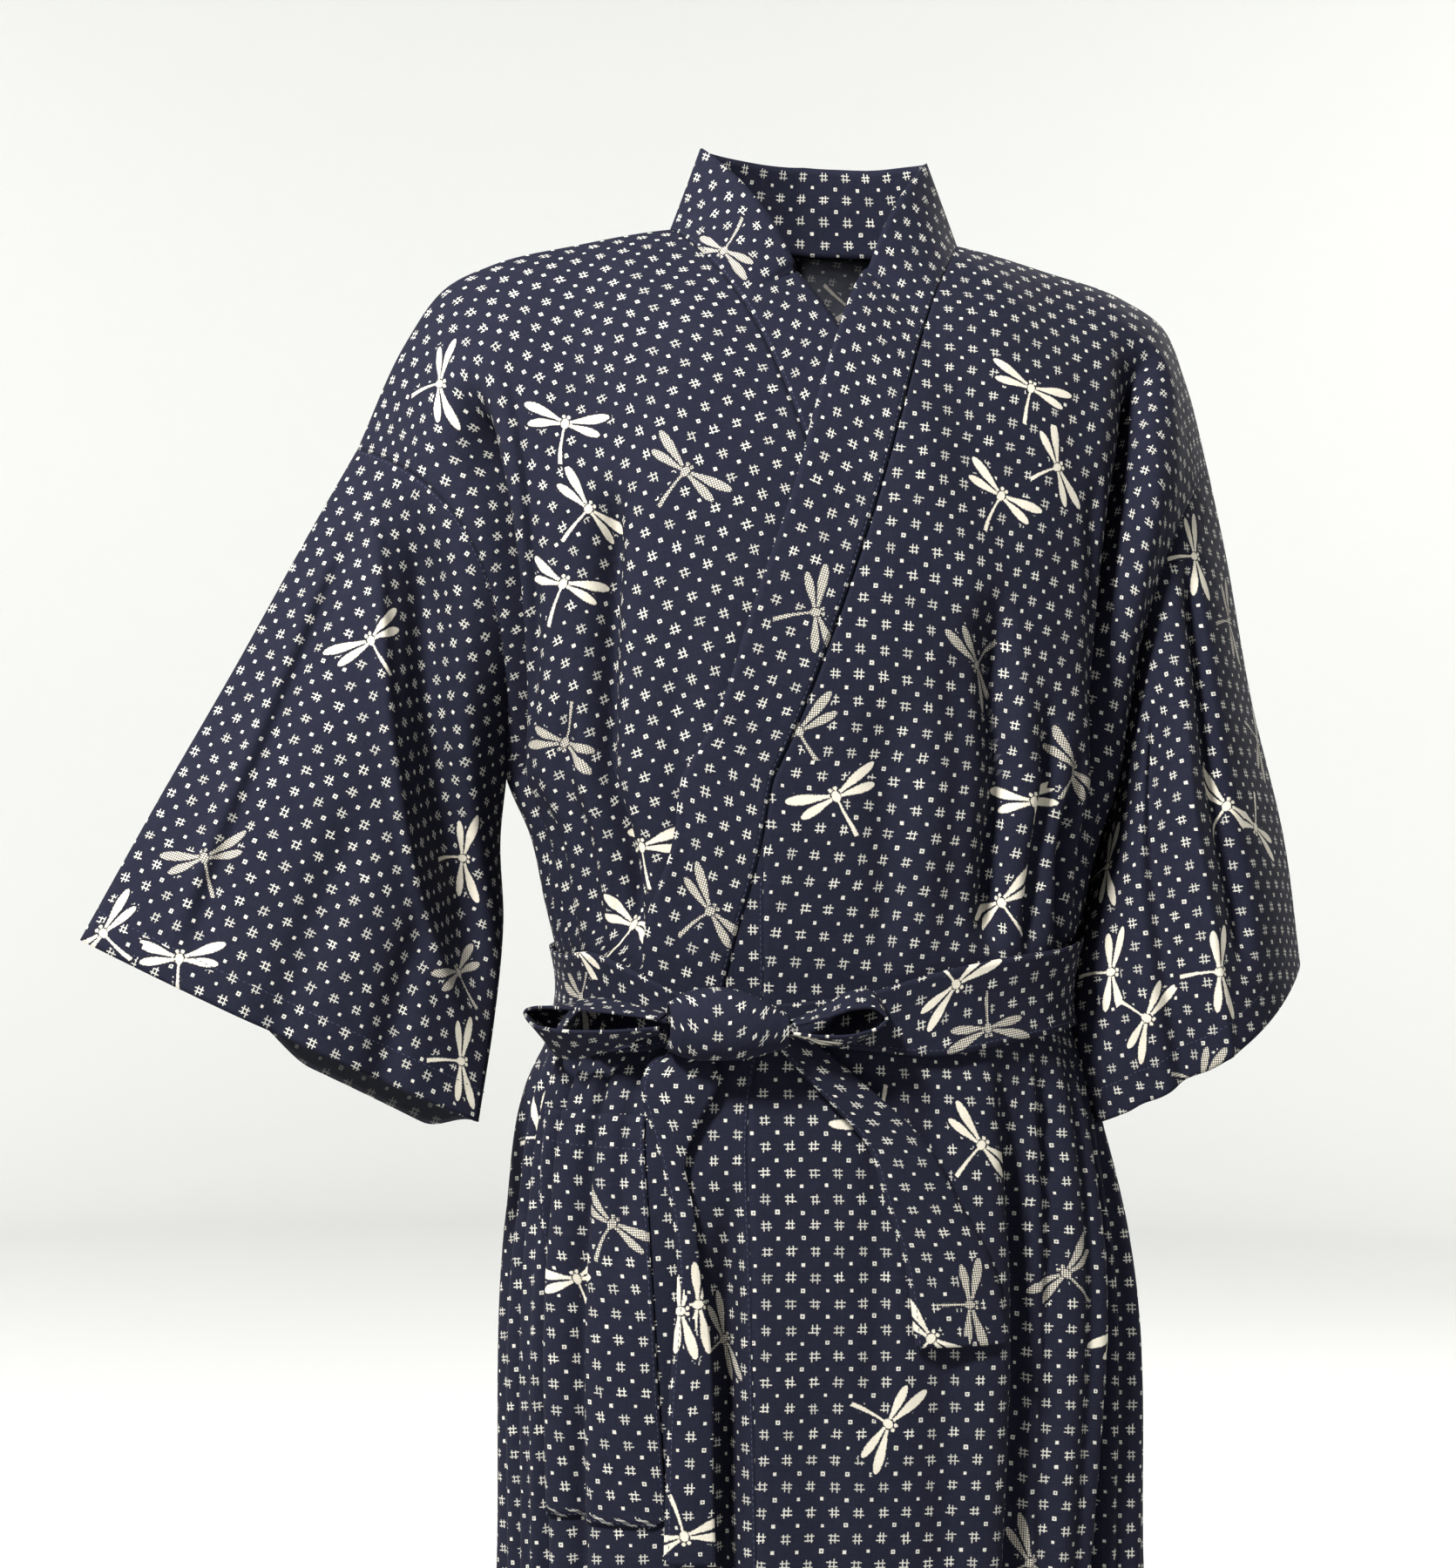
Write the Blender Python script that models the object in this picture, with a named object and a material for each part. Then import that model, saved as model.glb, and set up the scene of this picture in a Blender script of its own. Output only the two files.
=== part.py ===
"""A worn cotton kimono of yukata cut, tied at the waist, as separate cut pieces with a real wall.

Metres, +Z up, the front faces -Y, the wearer's right is -X. The origin is between the shoulders at the
height where the collar meets them. Every piece is read from one form of the worn cloth. A place on that
form has two coordinates. c goes round the body: 0 centre front, 1 left side, 2 centre back, and -1 right
side. v goes down it: 0 on the shoulder ridge, 1 at the underarm, 2 at the hem.
"""

from __future__ import annotations

import math

import bpy
import numpy as np

# walls of the cloth and the gaps between pieces
WALL = 0.0020
COLLAR_WALL = 0.0030
BELT_WALL = 0.0026
POCKET_WALL = 0.0015
HALF_GAP = 0.00018
POCKET_GAP = 0.0017
UNDERARM_GAP = 0.0080
UNDERARM_REACH = 0.13
COLLAR_OUT = 0.0005
OVERLAP_LIFT = 0.0074

# heights, and places on the form given as c and v
UNDERARM_Z = -0.345
HEM_Z = -1.360
BELT_Z = -0.490
NECK_C = 0.262
NECK_DIP = 0.17
CHEST_V = 0.30
OKUMI_TOP = 1.03
COLLAR_END = 1.20

# shape of the sections, the shoulders, the folds, the knot and the ends of the belt
SQUARE = 0.045
ARM_SWELL = 0.058
FOLD_SOFT = 1.7
BELT_SQUEEZE = 0.85
BELT_REACH = 0.034
KNOT_LIFT = 0.0290
KNOT_BAND = 0.0150
KNOT_ENDS_C = (-0.372, -0.132)
MOUTH_CLOSE = 0.42
MOUTH_SHORT = 0.07
TAIL_BOW = 0.0020

# steps used to feel the slope of the form, and how much the place beside the side fold is moved
FORM_STEP = 0.004
SLOPE_C = 0.012
SLOPE_V = 0.008
BESIDE = 1e-7

# how finely the pieces are divided
BODY_COLUMNS = 20
OKUMI_COLUMNS = 6
COLLAR_COLUMNS = 5
POCKET_COLUMNS = 15
BELT_COLUMNS = 76
BELT_ROWS = 4
TAIL_COLUMNS = 5
LOOP_ROWS = 29
LOOP_COLUMNS = 5
KNOT_RINGS = 11
KNOT_SIDES = 24
SLEEVE_ROWS = 11

NAVY = (0.040, 0.047, 0.078, 1.0)
ROUGHNESS = 0.88
SHARP_ANGLE = math.radians(50)

# z, right half width, left half width, front depth, back depth of the body
SECTIONS = (
    (-0.300, 0.194, 0.196, 0.130, 0.122),
    (-0.345, 0.194, 0.196, 0.130, 0.122),
    (-0.385, 0.178, 0.183, 0.129, 0.118),
    (-0.420, 0.170, 0.175, 0.126, 0.112),
    (-0.492, 0.158, 0.164, 0.120, 0.102),
    (-0.540, 0.180, 0.180, 0.124, 0.110),
    (-0.620, 0.192, 0.200, 0.130, 0.122),
    (-0.850, 0.195, 0.221, 0.137, 0.132),
    (-1.100, 0.202, 0.228, 0.141, 0.137),
    (-1.360, 0.210, 0.233, 0.145, 0.141),
)

# share of the cloth from centre to armhole, right x, left x, y, right z, left z of the shoulder ridge
RIDGE = (
    (0.00, 0.000, 0.000, 0.026, 0.008, 0.008),
    (0.27, 0.095, 0.095, 0.004, 0.000, -0.003),
    (0.45, 0.152, 0.152, 0.004, -0.012, -0.017),
    (0.62, 0.206, 0.204, 0.004, -0.027, -0.033),
    (0.73, 0.237, 0.232, 0.003, -0.045, -0.052),
    (0.83, 0.259, 0.246, 0.002, -0.078, -0.085),
    (1.00, 0.288, 0.262, 0.000, -0.145, -0.145),
)

# seam v, seam c, edge v, edge c of the collar on the left front
COLLAR_FRONT = (
    (0.300, 0.165, 0.215, 0.060),
    (0.430, 0.122, 0.360, 0.005),
    (0.570, 0.076, 0.510, -0.050),
    (0.700, 0.028, 0.655, -0.098),
    (0.847, -0.040, 0.815, -0.172),
    (0.973, -0.115, 0.950, -0.245),
    (1.057, -0.185, 1.040, -0.345),
    (1.123, -0.262, 1.107, -0.455),
    (1.200, -0.310, 1.195, -0.390),
)

# seam v, seam c, x, y, z from the seam to the free edge where the collar leaves the chest
COLLAR_NECK = (
    (0.000, 0.262, -0.020, 0.002, 0.053),
    (0.060, 0.245, -0.028, 0.000, 0.044),
    (0.170, 0.210, -0.035, 0.006, 0.034),
    (0.300, 0.165, -0.036, 0.016, 0.025),
)

# turn of the back neck from shoulder to nape, x, y, z from the seam to the free edge
COLLAR_NAPE = (
    (0.000, -0.020, 0.002, 0.053),
    (0.500, -0.012, -0.006, 0.056),
    (1.000, 0.000, -0.010, 0.057),
)

# v, c of the okumi seam, c of the free front edge below the collar
OKUMI = (
    (1.030, -0.160, -0.300),
    (1.100, -0.172, -0.305),
    (1.177, -0.180, -0.308),
    (1.300, -0.162, -0.290),
    (1.450, -0.150, -0.268),
    (1.700, -0.146, -0.258),
    (2.000, -0.142, -0.250),
)

# top c, top v, middle c, middle v, bottom c, bottom v, right width, left width, depth of each fold
FOLDS = (
    (-0.84, 0.24, -0.88, 0.60, -0.88, 1.06, 0.050, 0.045, 0.022),
    (0.70, 0.16, 0.66, 0.60, 0.62, 1.08, 0.060, 0.070, 0.020),
    (-0.44, 0.62, -0.47, 0.88, -0.475, 1.14, 0.050, 0.030, 0.009),
    (-0.60, 0.90, -0.62, 1.05, -0.64, 1.16, 0.040, 0.050, 0.005),
    (0.05, 0.90, 0.06, 1.03, 0.072, 1.13, 0.040, 0.040, 0.004),
    (0.25, 0.78, 0.275, 0.98, 0.310, 1.13, 0.060, 0.028, 0.010),
    (0.38, 0.92, 0.385, 1.04, 0.410, 1.13, 0.035, 0.045, 0.005),
    (0.47, 1.00, 0.490, 1.06, 0.560, 1.13, 0.035, 0.050, 0.006),
    (0.320, 1.14, 0.275, 1.45, 0.250, 2.20, 0.028, 0.070, 0.013),
    (0.440, 1.14, 0.360, 1.32, 0.340, 1.75, 0.030, 0.050, 0.007),
    (0.660, 1.14, 0.500, 1.46, 0.460, 2.20, 0.030, 0.070, 0.012),
    (0.840, 1.14, 0.740, 1.50, 0.700, 2.20, 0.050, 0.060, 0.010),
    (-0.205, 1.22, -0.200, 1.45, -0.190, 2.20, 0.045, 0.030, 0.009),
    (0.052, 1.16, 0.045, 1.28, 0.040, 1.40, 0.030, 0.030, 0.003),
    (-0.555, 1.14, -0.540, 1.26, -0.530, 1.75, 0.050, 0.030, 0.005),
    (-0.710, 1.14, -0.690, 1.30, -0.670, 2.20, 0.045, 0.040, 0.008),
    (-0.860, 1.14, -0.850, 1.34, -0.860, 2.20, 0.045, 0.045, 0.008),
    (-1.10, 1.13, -1.14, 1.50, -1.16, 2.20, 0.060, 0.060, 0.010),
    (-1.32, 1.13, -1.34, 1.55, -1.33, 2.20, 0.060, 0.070, 0.011),
    (-1.58, 1.13, -1.60, 1.60, -1.60, 2.20, 0.070, 0.060, 0.008),
    (-1.80, 1.13, -1.82, 1.50, -1.84, 2.20, 0.060, 0.070, 0.009),
    (1.06, 1.13, 1.08, 1.50, 1.10, 2.20, 0.060, 0.060, 0.011),
    (1.27, 1.13, 1.31, 1.55, 1.33, 2.20, 0.070, 0.060, 0.009),
    (1.52, 1.13, 1.54, 1.60, 1.56, 2.20, 0.060, 0.070, 0.010),
    (1.76, 1.13, 1.78, 1.50, 1.80, 2.20, 0.060, 0.060, 0.008),
    (-1.20, 0.80, -1.22, 1.00, -1.24, 1.14, 0.060, 0.060, 0.008),
    (-1.48, 0.70, -1.50, 0.95, -1.50, 1.14, 0.060, 0.060, 0.007),
    (-1.74, 0.80, -1.74, 1.00, -1.75, 1.14, 0.060, 0.060, 0.006),
    (1.18, 0.80, 1.20, 1.00, 1.22, 1.14, 0.060, 0.060, 0.008),
    (1.44, 0.70, 1.45, 0.95, 1.46, 1.14, 0.060, 0.060, 0.007),
    (1.70, 0.80, 1.70, 1.00, 1.70, 1.14, 0.060, 0.060, 0.006),
    (-1.13, 0.18, -1.10, 0.55, -1.08, 1.02, 0.050, 0.060, 0.016),
    (1.13, 0.18, 1.10, 0.55, 1.08, 1.02, 0.060, 0.050, 0.016),
)

# share of the way to the cuff, top fold x, y, z, bottom fold x, y, z, front swell, back swell
SLEEVE_RIGHT = (
    (0.00, -0.288, 0.000, -0.145, -0.194, 0.000, -0.345, 0.058, 0.058),
    (0.20, -0.318, -0.008, -0.200, -0.197, 0.008, -0.386, 0.058, 0.046),
    (0.45, -0.360, -0.020, -0.280, -0.195, 0.004, -0.438, 0.058, 0.040),
    (0.72, -0.406, -0.035, -0.364, -0.202, -0.024, -0.494, 0.052, 0.038),
    (1.00, -0.450, -0.050, -0.447, -0.214, -0.058, -0.556, 0.034, 0.040),
)
SLEEVE_LEFT = (
    (0.00, 0.262, 0.000, -0.145, 0.196, 0.000, -0.345, 0.058, 0.058),
    (0.20, 0.274, -0.002, -0.200, 0.202, -0.006, -0.392, 0.062, 0.056),
    (0.45, 0.290, -0.006, -0.290, 0.204, -0.016, -0.450, 0.070, 0.056),
    (0.72, 0.311, -0.012, -0.380, 0.197, -0.028, -0.508, 0.074, 0.060),
    (1.00, 0.321, -0.018, -0.462, 0.188, -0.038, -0.560, 0.072, 0.062),
)

# share of the way to the cuff where it starts and ends, share from top fold to bottom fold at both
# ends, width, depth; the first table lies on the front layer, the second on the back layer
SLEEVE_FOLDS_RIGHT = (
    (-1, 0.00, 0.75, 0.46, 0.66, 0.070, 0.015),
    (-1, 0.05, 1.10, 0.78, 0.86, 0.060, 0.010),
    (-1, 0.30, 1.20, 0.20, 0.26, 0.080, 0.006),
    (1, 0.00, 0.80, 0.50, 0.60, 0.080, 0.010),
    (1, 0.20, 1.20, 0.25, 0.30, 0.080, 0.007),
)
SLEEVE_FOLDS_LEFT = (
    (-1, 0.00, 0.90, 0.34, 0.40, 0.060, 0.010),
    (-1, 0.10, 1.20, 0.64, 0.70, 0.070, 0.009),
    (1, 0.00, 0.80, 0.50, 0.60, 0.080, 0.010),
    (1, 0.20, 1.20, 0.25, 0.30, 0.080, 0.007),
)

# c, top z, bottom z, distance out from the form of the belt on its way round
BELT = (
    (-0.215, -0.479, -0.503, 0.0125),
    (-0.330, -0.476, -0.504, 0.0125),
    (-0.420, -0.466, -0.511, 0.0125),
    (-0.490, -0.458, -0.513, 0.0120),
    (-0.600, -0.452, -0.513, 0.0064),
    (-0.850, -0.455, -0.513, 0.0054),
    (-1.200, -0.452, -0.511, 0.0054),
    (-2.000, -0.448, -0.507, 0.0054),
    (-2.800, -0.446, -0.505, 0.0054),
    (-3.350, -0.443, -0.499, 0.0065),
    (-3.500, -0.446, -0.501, 0.0115),
    (-3.650, -0.450, -0.505, 0.0120),
    (-3.850, -0.461, -0.512, 0.0125),
    (-3.970, -0.472, -0.508, 0.0125),
    (-4.170, -0.480, -0.503, 0.0125),
)

# x, middle z, half height, half depth of the wrap of the knot
KNOT = (
    (-0.1085, -0.4920, 0.0130, 0.0090),
    (-0.1050, -0.4918, 0.0155, 0.0112),
    (-0.0960, -0.4910, 0.0190, 0.0130),
    (-0.0780, -0.4900, 0.0205, 0.0142),
    (-0.0600, -0.4915, 0.0170, 0.0130),
    (-0.0470, -0.4930, 0.0115, 0.0105),
    (-0.0410, -0.4935, 0.0090, 0.0088),
)

# share of the way round the loop from the lower end to the upper end, c, z
LOOP_RIGHT = (
    (0.00, -0.384, -0.4990),
    (0.15, -0.510, -0.5120),
    (0.32, -0.650, -0.5200),
    (0.44, -0.755, -0.5160),
    (0.50, -0.800, -0.5040),
    (0.56, -0.755, -0.4900),
    (0.68, -0.650, -0.4810),
    (0.85, -0.510, -0.4800),
    (1.00, -0.384, -0.4860),
)
LOOP_LEFT = (
    (0.00, -0.1275, -0.4975),
    (0.18, -0.060, -0.5030),
    (0.36, 0.010, -0.5015),
    (0.46, 0.050, -0.4935),
    (0.52, 0.062, -0.4850),
    (0.60, 0.045, -0.4730),
    (0.72, 0.000, -0.4700),
    (0.86, -0.060, -0.4800),
    (1.00, -0.1275, -0.4895),
)

# v, c of the right edge, c of the left edge, distance out from the form of each free end
TAIL_LEFT = (
    (1.1510, -0.165, -0.092, 0.0167),
    (1.1660, -0.118, -0.030, 0.0160),
    (1.1880, -0.045, 0.050, 0.0130),
    (1.2120, 0.020, 0.122, 0.0108),
    (1.2450, 0.052, 0.172, 0.0103),
    (1.2850, 0.082, 0.226, 0.0103),
    (1.3320, 0.096, 0.250, 0.0103),
)
TAIL_RIGHT = (
    (1.1620, -0.355, -0.272, 0.0158),
    (1.1680, -0.390, -0.262, 0.0156),
    (1.1790, -0.405, -0.245, 0.0150),
    (1.2000, -0.375, -0.268, 0.0125),
    (1.2230, -0.340, -0.290, 0.0118),
    (1.2520, -0.312, -0.270, 0.0112),
    (1.2860, -0.294, -0.254, 0.0106),
    (1.3270, -0.296, -0.232, 0.0104),
    (1.3600, -0.304, -0.226, 0.0104),
    (1.4100, -0.310, -0.225, 0.0104),
    (1.4550, -0.314, -0.220, 0.0104),
)

# v, c of the right edge, c of the left edge of the pocket
POCKET = (
    (1.199, -0.790, -0.392),
    (1.250, -0.745, -0.366),
    (1.310, -0.700, -0.342),
    (1.370, -0.676, -0.326),
    (1.436, -0.660, -0.312),
)

# v of the rows of the body above and below the underarm
UPPER_V = (0.0, 0.03, 0.07, 0.12, 0.17, 0.24, 0.32, 0.41, 0.51, 0.61, 0.71, 0.81, 0.91, 1.0)
LOWER_V = (1.03, 1.06, 1.09, 1.12, 1.145, 1.17, 1.20, 1.25, 1.31, 1.37, 1.435, 1.53, 1.64, 1.76, 1.88, 2.0)


def along(rows: tuple, at: np.ndarray) -> np.ndarray:
    """Smooth curve through the rows of a table.

    Args:
        rows: rows of numbers, the first column rising or falling.
        at: values of the first column to read the others at.

    Returns:
        The other columns, one row for each value.
    """
    table = np.asarray(rows, float)
    if table[0, 0] > table[-1, 0]:
        table = table[::-1]
    x, y = table[:, 0], table[:, 1:]
    slope = np.gradient(y, x, axis=0)
    at = np.clip(np.asarray(at, float), x[0], x[-1])
    i = np.clip(np.searchsorted(x, at, side="right") - 1, 0, len(x) - 2)
    h = (x[i + 1] - x[i])[..., None]
    t = (at - x[i])[..., None] / h
    return (
        y[i] * (1 + 2 * t) * (1 - t) ** 2
        + y[i + 1] * t * t * (3 - 2 * t)
        + slope[i] * h * t * (1 - t) ** 2
        - slope[i + 1] * h * t * t * (1 - t)
    )


def ease(low: float, high: float, at: np.ndarray) -> np.ndarray:
    """Soft step from 0 at low to 1 at high."""
    t = np.clip((np.asarray(at, float) - low) / (high - low), 0, 1)
    return t * t * (3 - 2 * t)


def v_of(z: np.ndarray) -> np.ndarray:
    """The v coordinate of a height below the underarm."""
    return 1 + (UNDERARM_Z - np.asarray(z, float)) / (UNDERARM_Z - HEM_Z)


def z_of(v: np.ndarray) -> np.ndarray:
    """The height of a v coordinate below the underarm."""
    return UNDERARM_Z + (np.asarray(v, float) - 1) * (HEM_Z - UNDERARM_Z)


def section(c: np.ndarray, z: np.ndarray) -> np.ndarray:
    """Point of the rounded body section at height z."""
    right, left, front, back = np.moveaxis(along(SECTIONS, z), -1, 0)
    turn = np.asarray(c, float) * math.pi / 2
    x = (np.sin(turn) + SQUARE * np.sin(3 * turn)) / (1 - SQUARE)
    y = -(np.cos(turn) - SQUARE * np.cos(3 * turn)) / (1 - SQUARE)
    return np.stack([x * np.where(x < 0, right, left), y * np.where(y < 0, front, back), z + 0 * x], -1)


def armhole_swell(q: np.ndarray) -> np.ndarray:
    """Swell of an armhole or cuff at a share of the way from its top fold to its bottom fold."""
    return np.sin(math.pi * np.clip(q, 0, 1)) ** 0.85


def form(c: np.ndarray, v: np.ndarray) -> np.ndarray:
    """Point of the worn form without folds at the place (c, v)."""
    c, v = np.broadcast_arrays(np.asarray(c, float), np.asarray(v, float))
    low = section(c, np.where(v > 1, z_of(v), UNDERARM_Z))
    q = np.clip(v, 0, 1)
    share = 1 - np.abs(1 - np.abs(c))
    ridge = along(RIDGE, share)
    at_back = ease(0.98, 1.02, np.abs(c)) * ease(1.0, 0.5, share)
    ridge_x = np.where(c < 0, -ridge[..., 0], ridge[..., 1])
    drop = (0.35 - 0.35 * at_back) * q + (0.65 + 0.35 * at_back) * q**2
    front = np.where(np.abs(c) < 1, -1.0, 1.0)
    bulge = ARM_SWELL * armhole_swell(q) * ease(0.45, 1.0, share)
    forward = 1 - (1 - q) ** 2.3
    x = ridge_x + (low[..., 0] - ridge_x) * (1 - (1 - q) ** 2)
    y = ridge[..., 2] + (low[..., 1] - ridge[..., 2]) * forward + front * bulge
    ridge_z = np.where(c < 0, ridge[..., 3], ridge[..., 4])
    z = ridge_z + (UNDERARM_Z - ridge_z) * drop
    return np.where((v > 1)[..., None], low, np.stack([x, y, z], -1))


def off_form(c: np.ndarray, v: np.ndarray, out: np.ndarray) -> np.ndarray:
    """Point of the form without folds, moved out by the distance out."""
    c, v, out = np.broadcast_arrays(c, v, out)
    across = form(c + FORM_STEP, v) - form(c - FORM_STEP, v)
    down = form(c, v + FORM_STEP) - form(c, np.maximum(v - FORM_STEP, 0))
    normal = np.cross(down, across)
    normal /= np.maximum(np.linalg.norm(normal, axis=-1, keepdims=True), 1e-12)
    return form(c, v) + normal * out[..., None]


def fold_depth(c: np.ndarray, v: np.ndarray) -> np.ndarray:
    """How far the folds push the cloth at (c, v) inwards."""
    depth = 0 * c * v
    for top_c, top_v, mid_c, mid_v, end_c, end_v, right, left, deep in FOLDS:
        middle = along(((top_v, top_c), (mid_v, mid_c), (end_v, end_c)), v)[..., 0]
        off = c - middle
        across = np.exp(-((off / (FOLD_SOFT * np.where(off < 0, right, left))) ** 2))
        start = ease(top_v - 0.01, top_v + 0.3 * (mid_v - top_v) + 0.03, v)
        stop = ease(end_v + 0.01, end_v - 0.25 * (end_v - mid_v) - 0.02, v)
        depth = np.maximum(depth, deep * across * start * stop)
    share = 1 - np.abs(1 - np.abs(c))
    fixed = 1 - (1 - ease(1.0, 1.06, v)) * ease(0.93, 1.0, share)
    squeeze = 1 - BELT_SQUEEZE * np.exp(-(((z_of(v) - BELT_Z) / BELT_REACH) ** 2))
    return depth * fixed * squeeze * ease(0.02, 0.16, v)


def under_edge(v: np.ndarray) -> np.ndarray:
    """c of the free edge of the right front, which lies under the left front."""
    rows = [(row[2], row[3]) for row in COLLAR_FRONT] + [(row[0], row[2]) for row in OKUMI[3:]]
    return -along(tuple(rows), v)[..., 0]


def over_lift(c: np.ndarray, v: np.ndarray) -> np.ndarray:
    """How far the left front is lifted off the form to pass over the right front."""
    edge = under_edge(v)
    return OVERLAP_LIFT * (1 - ease(0.03, 0.17, c - edge))


def cloth(c: np.ndarray, v: np.ndarray, over: bool, out: float = 0.0) -> np.ndarray:
    """Point of the middle of the cloth at (c, v).

    Args:
        c: coordinate round the body.
        v: coordinate down the body.
        over: whether the piece belongs to the left front, which lies on top.
        out: distance to move the point out.

    Returns:
        The points.
    """
    c, v = np.broadcast_arrays(np.asarray(c, float), np.asarray(v, float))
    lift = over_lift(c, v) if over else 0 * c
    return off_form(c, v, lift + out - fold_depth(c, v))


def grid_normals(points: np.ndarray, closed: bool = False) -> np.ndarray:
    """Unit normals of a grid of points, from its rows and columns."""
    if closed:
        ring = np.concatenate([points[:, -1:], points, points[:, :1]], 1)
        across = np.gradient(ring, axis=1)[:, 1:-1]
    else:
        across = np.gradient(points, axis=1)
    down = np.gradient(points, axis=0)
    normal = np.cross(across, down)
    return normal / np.maximum(np.linalg.norm(normal, axis=-1, keepdims=True), 1e-12)


def cloth_normals(c: np.ndarray, v: np.ndarray, over: bool) -> np.ndarray:
    """Unit outward normals of the folded cloth at (c, v)."""
    across = cloth(c + SLOPE_C, v, over) - cloth(c - SLOPE_C, v, over)
    down = cloth(c, v + SLOPE_V, over) - cloth(c, np.maximum(v - SLOPE_V, 0), over)
    normal = np.cross(down, across)
    return normal / np.maximum(np.linalg.norm(normal, axis=-1, keepdims=True), 1e-12)


class Sheet:
    """A grid of points in the middle of a cloth wall, with the direction of the wall at each."""

    def __init__(self, points: np.ndarray, normals: np.ndarray | None = None, closed: bool = False):
        self.points = points
        self.closed = closed
        self.normals = grid_normals(points, closed) if normals is None else normals

    def trim(self, side: str, gap: float = HALF_GAP) -> None:
        """Moves one edge in by the gap. side is first or last, then row or column."""
        end, axis = side.split()
        grid = self.points if axis == "row" else self.points.swapaxes(0, 1)
        edge, inner = (0, 1) if end == "first" else (-1, -2)
        way = grid[inner] - grid[edge]
        length = np.maximum(np.linalg.norm(way, axis=-1, keepdims=True), 1e-9)
        grid[edge] += way / length * np.minimum(gap, 0.4 * length)

    def solid(self, name: str, wall: float) -> bpy.types.Object:
        """Makes the closed wall round the grid as an object."""
        rows, columns = self.points.shape[:2]
        outer = (self.points + self.normals * wall / 2).reshape(-1, 3)
        inner = (self.points - self.normals * wall / 2).reshape(-1, 3)
        count = len(outer)
        index = np.arange(count).reshape(rows, columns)
        if self.closed:
            index = np.concatenate([index, index[:, :1]], 1)
        quads = np.stack([index[:-1, :-1], index[1:, :-1], index[1:, 1:], index[:-1, 1:]], -1).reshape(-1, 4)
        faces = [tuple(q) for q in quads] + [tuple(q[::-1] + count) for q in quads]
        rims = [index[0], index[-1, ::-1]]
        if not self.closed:
            rims += [index[::-1, 0], index[:, -1]]
        for rim in rims:
            for a, b in zip(rim[:-1], rim[1:]):
                faces.append((a, b, b + count, a + count))
        return add_object(name, np.concatenate([outer, inner]), faces)


def cotton(name: str) -> bpy.types.Material:
    """The matt navy cotton of one piece."""
    material = bpy.data.materials.new(f"cotton_{name}")
    material.use_nodes = True
    material.diffuse_color = NAVY
    shader = material.node_tree.nodes["Principled BSDF"]
    shader.inputs["Base Color"].default_value = NAVY
    shader.inputs["Roughness"].default_value = ROUGHNESS
    shader.inputs["Metallic"].default_value = 0.0
    return material


def add_object(name: str, points: np.ndarray, faces: list) -> bpy.types.Object:
    """Adds a mesh object whose faces point out."""
    corners = [(f[0], f[i], f[i + 1]) for f in faces for i in range(1, len(f) - 1)]
    tri = points[np.asarray(corners)]
    if np.einsum("ij,ij->i", tri[:, 0], np.cross(tri[:, 1], tri[:, 2])).sum() < 0:
        faces = [f[::-1] for f in faces]
    mesh = bpy.data.meshes.new(name)
    mesh.from_pydata([tuple(p) for p in points], [], [tuple(int(i) for i in f) for f in faces])
    mesh.validate()
    mesh.shade_smooth()
    mesh.set_sharp_from_angle(angle=SHARP_ANGLE)
    mesh.materials.append(cotton(name))
    obj = bpy.data.objects.new(name, mesh)
    bpy.context.scene.collection.objects.link(obj)
    return obj


def seam_c(v: np.ndarray) -> np.ndarray:
    """c of the collar seam on the left front."""
    rows = [row[:2] for row in COLLAR_NECK[:-1]] + [row[:2] for row in COLLAR_FRONT]
    return along(tuple(rows), v)[..., 0]


def okumi_c(v: np.ndarray) -> np.ndarray:
    """c of the seam between the left body and its okumi."""
    return along(OKUMI, v)[..., 0]


def front_c(v: np.ndarray) -> np.ndarray:
    """c of the inner edge of the left body front: the collar seam, then the okumi seam."""
    return np.where(v < OKUMI_TOP, seam_c(v), okumi_c(v))


def back_c(v: np.ndarray) -> np.ndarray:
    """c of the inner edge of the left body back: the neck, then the centre back."""
    return 2 - NECK_C * np.sqrt(np.clip(1 - (np.asarray(v) / NECK_DIP) ** 2, 0, 1))


def body_sheet(side: int) -> Sheet:
    """One half of the body, from the front hem over the shoulder to the back hem.

    Args:
        side: 1 for the wearer's left half, -1 for the right half.

    Returns:
        The sheet, rows from front hem to back hem, columns from the inner edge to the side.
    """
    over = side > 0
    v = np.array(UPPER_V + LOWER_V)
    t = np.linspace(0, 1, BODY_COLUMNS)
    front = np.minimum(front_c(v[::-1])[:, None] * (1 - t) + t, 1 - BESIDE)
    back = np.maximum(back_c(v[1:])[:, None] * (1 - t) + t, 1 + BESIDE)
    c = side * np.concatenate([front, back])
    rows_v = np.concatenate([v[::-1], v[1:]])[:, None] + 0 * c
    sheet = Sheet(cloth(c, rows_v, over))
    sheet.normals *= side
    return sheet


def okumi_sheet(side: int) -> Sheet:
    """The overlap panel of one side, from its tip at the collar seam down to the hem."""
    over = side > 0
    knots = np.array(UPPER_V + LOWER_V)
    v = np.array((OKUMI_TOP + 0.005,) + LOWER_V[1:])
    inner = np.interp(v, knots, front_c(knots))
    edge = np.where(v < COLLAR_END + 1e-6, np.interp(v, knots, seam_c(knots)), along(OKUMI, v)[..., 1])
    t = np.linspace(0, 1, OKUMI_COLUMNS)
    c = side * (inner[:, None] * (1 - t) + edge[:, None] * t)
    rows_v = v[:, None] + 0 * c
    return Sheet(cloth(c, rows_v, over), cloth_normals(c, rows_v, over))


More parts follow.
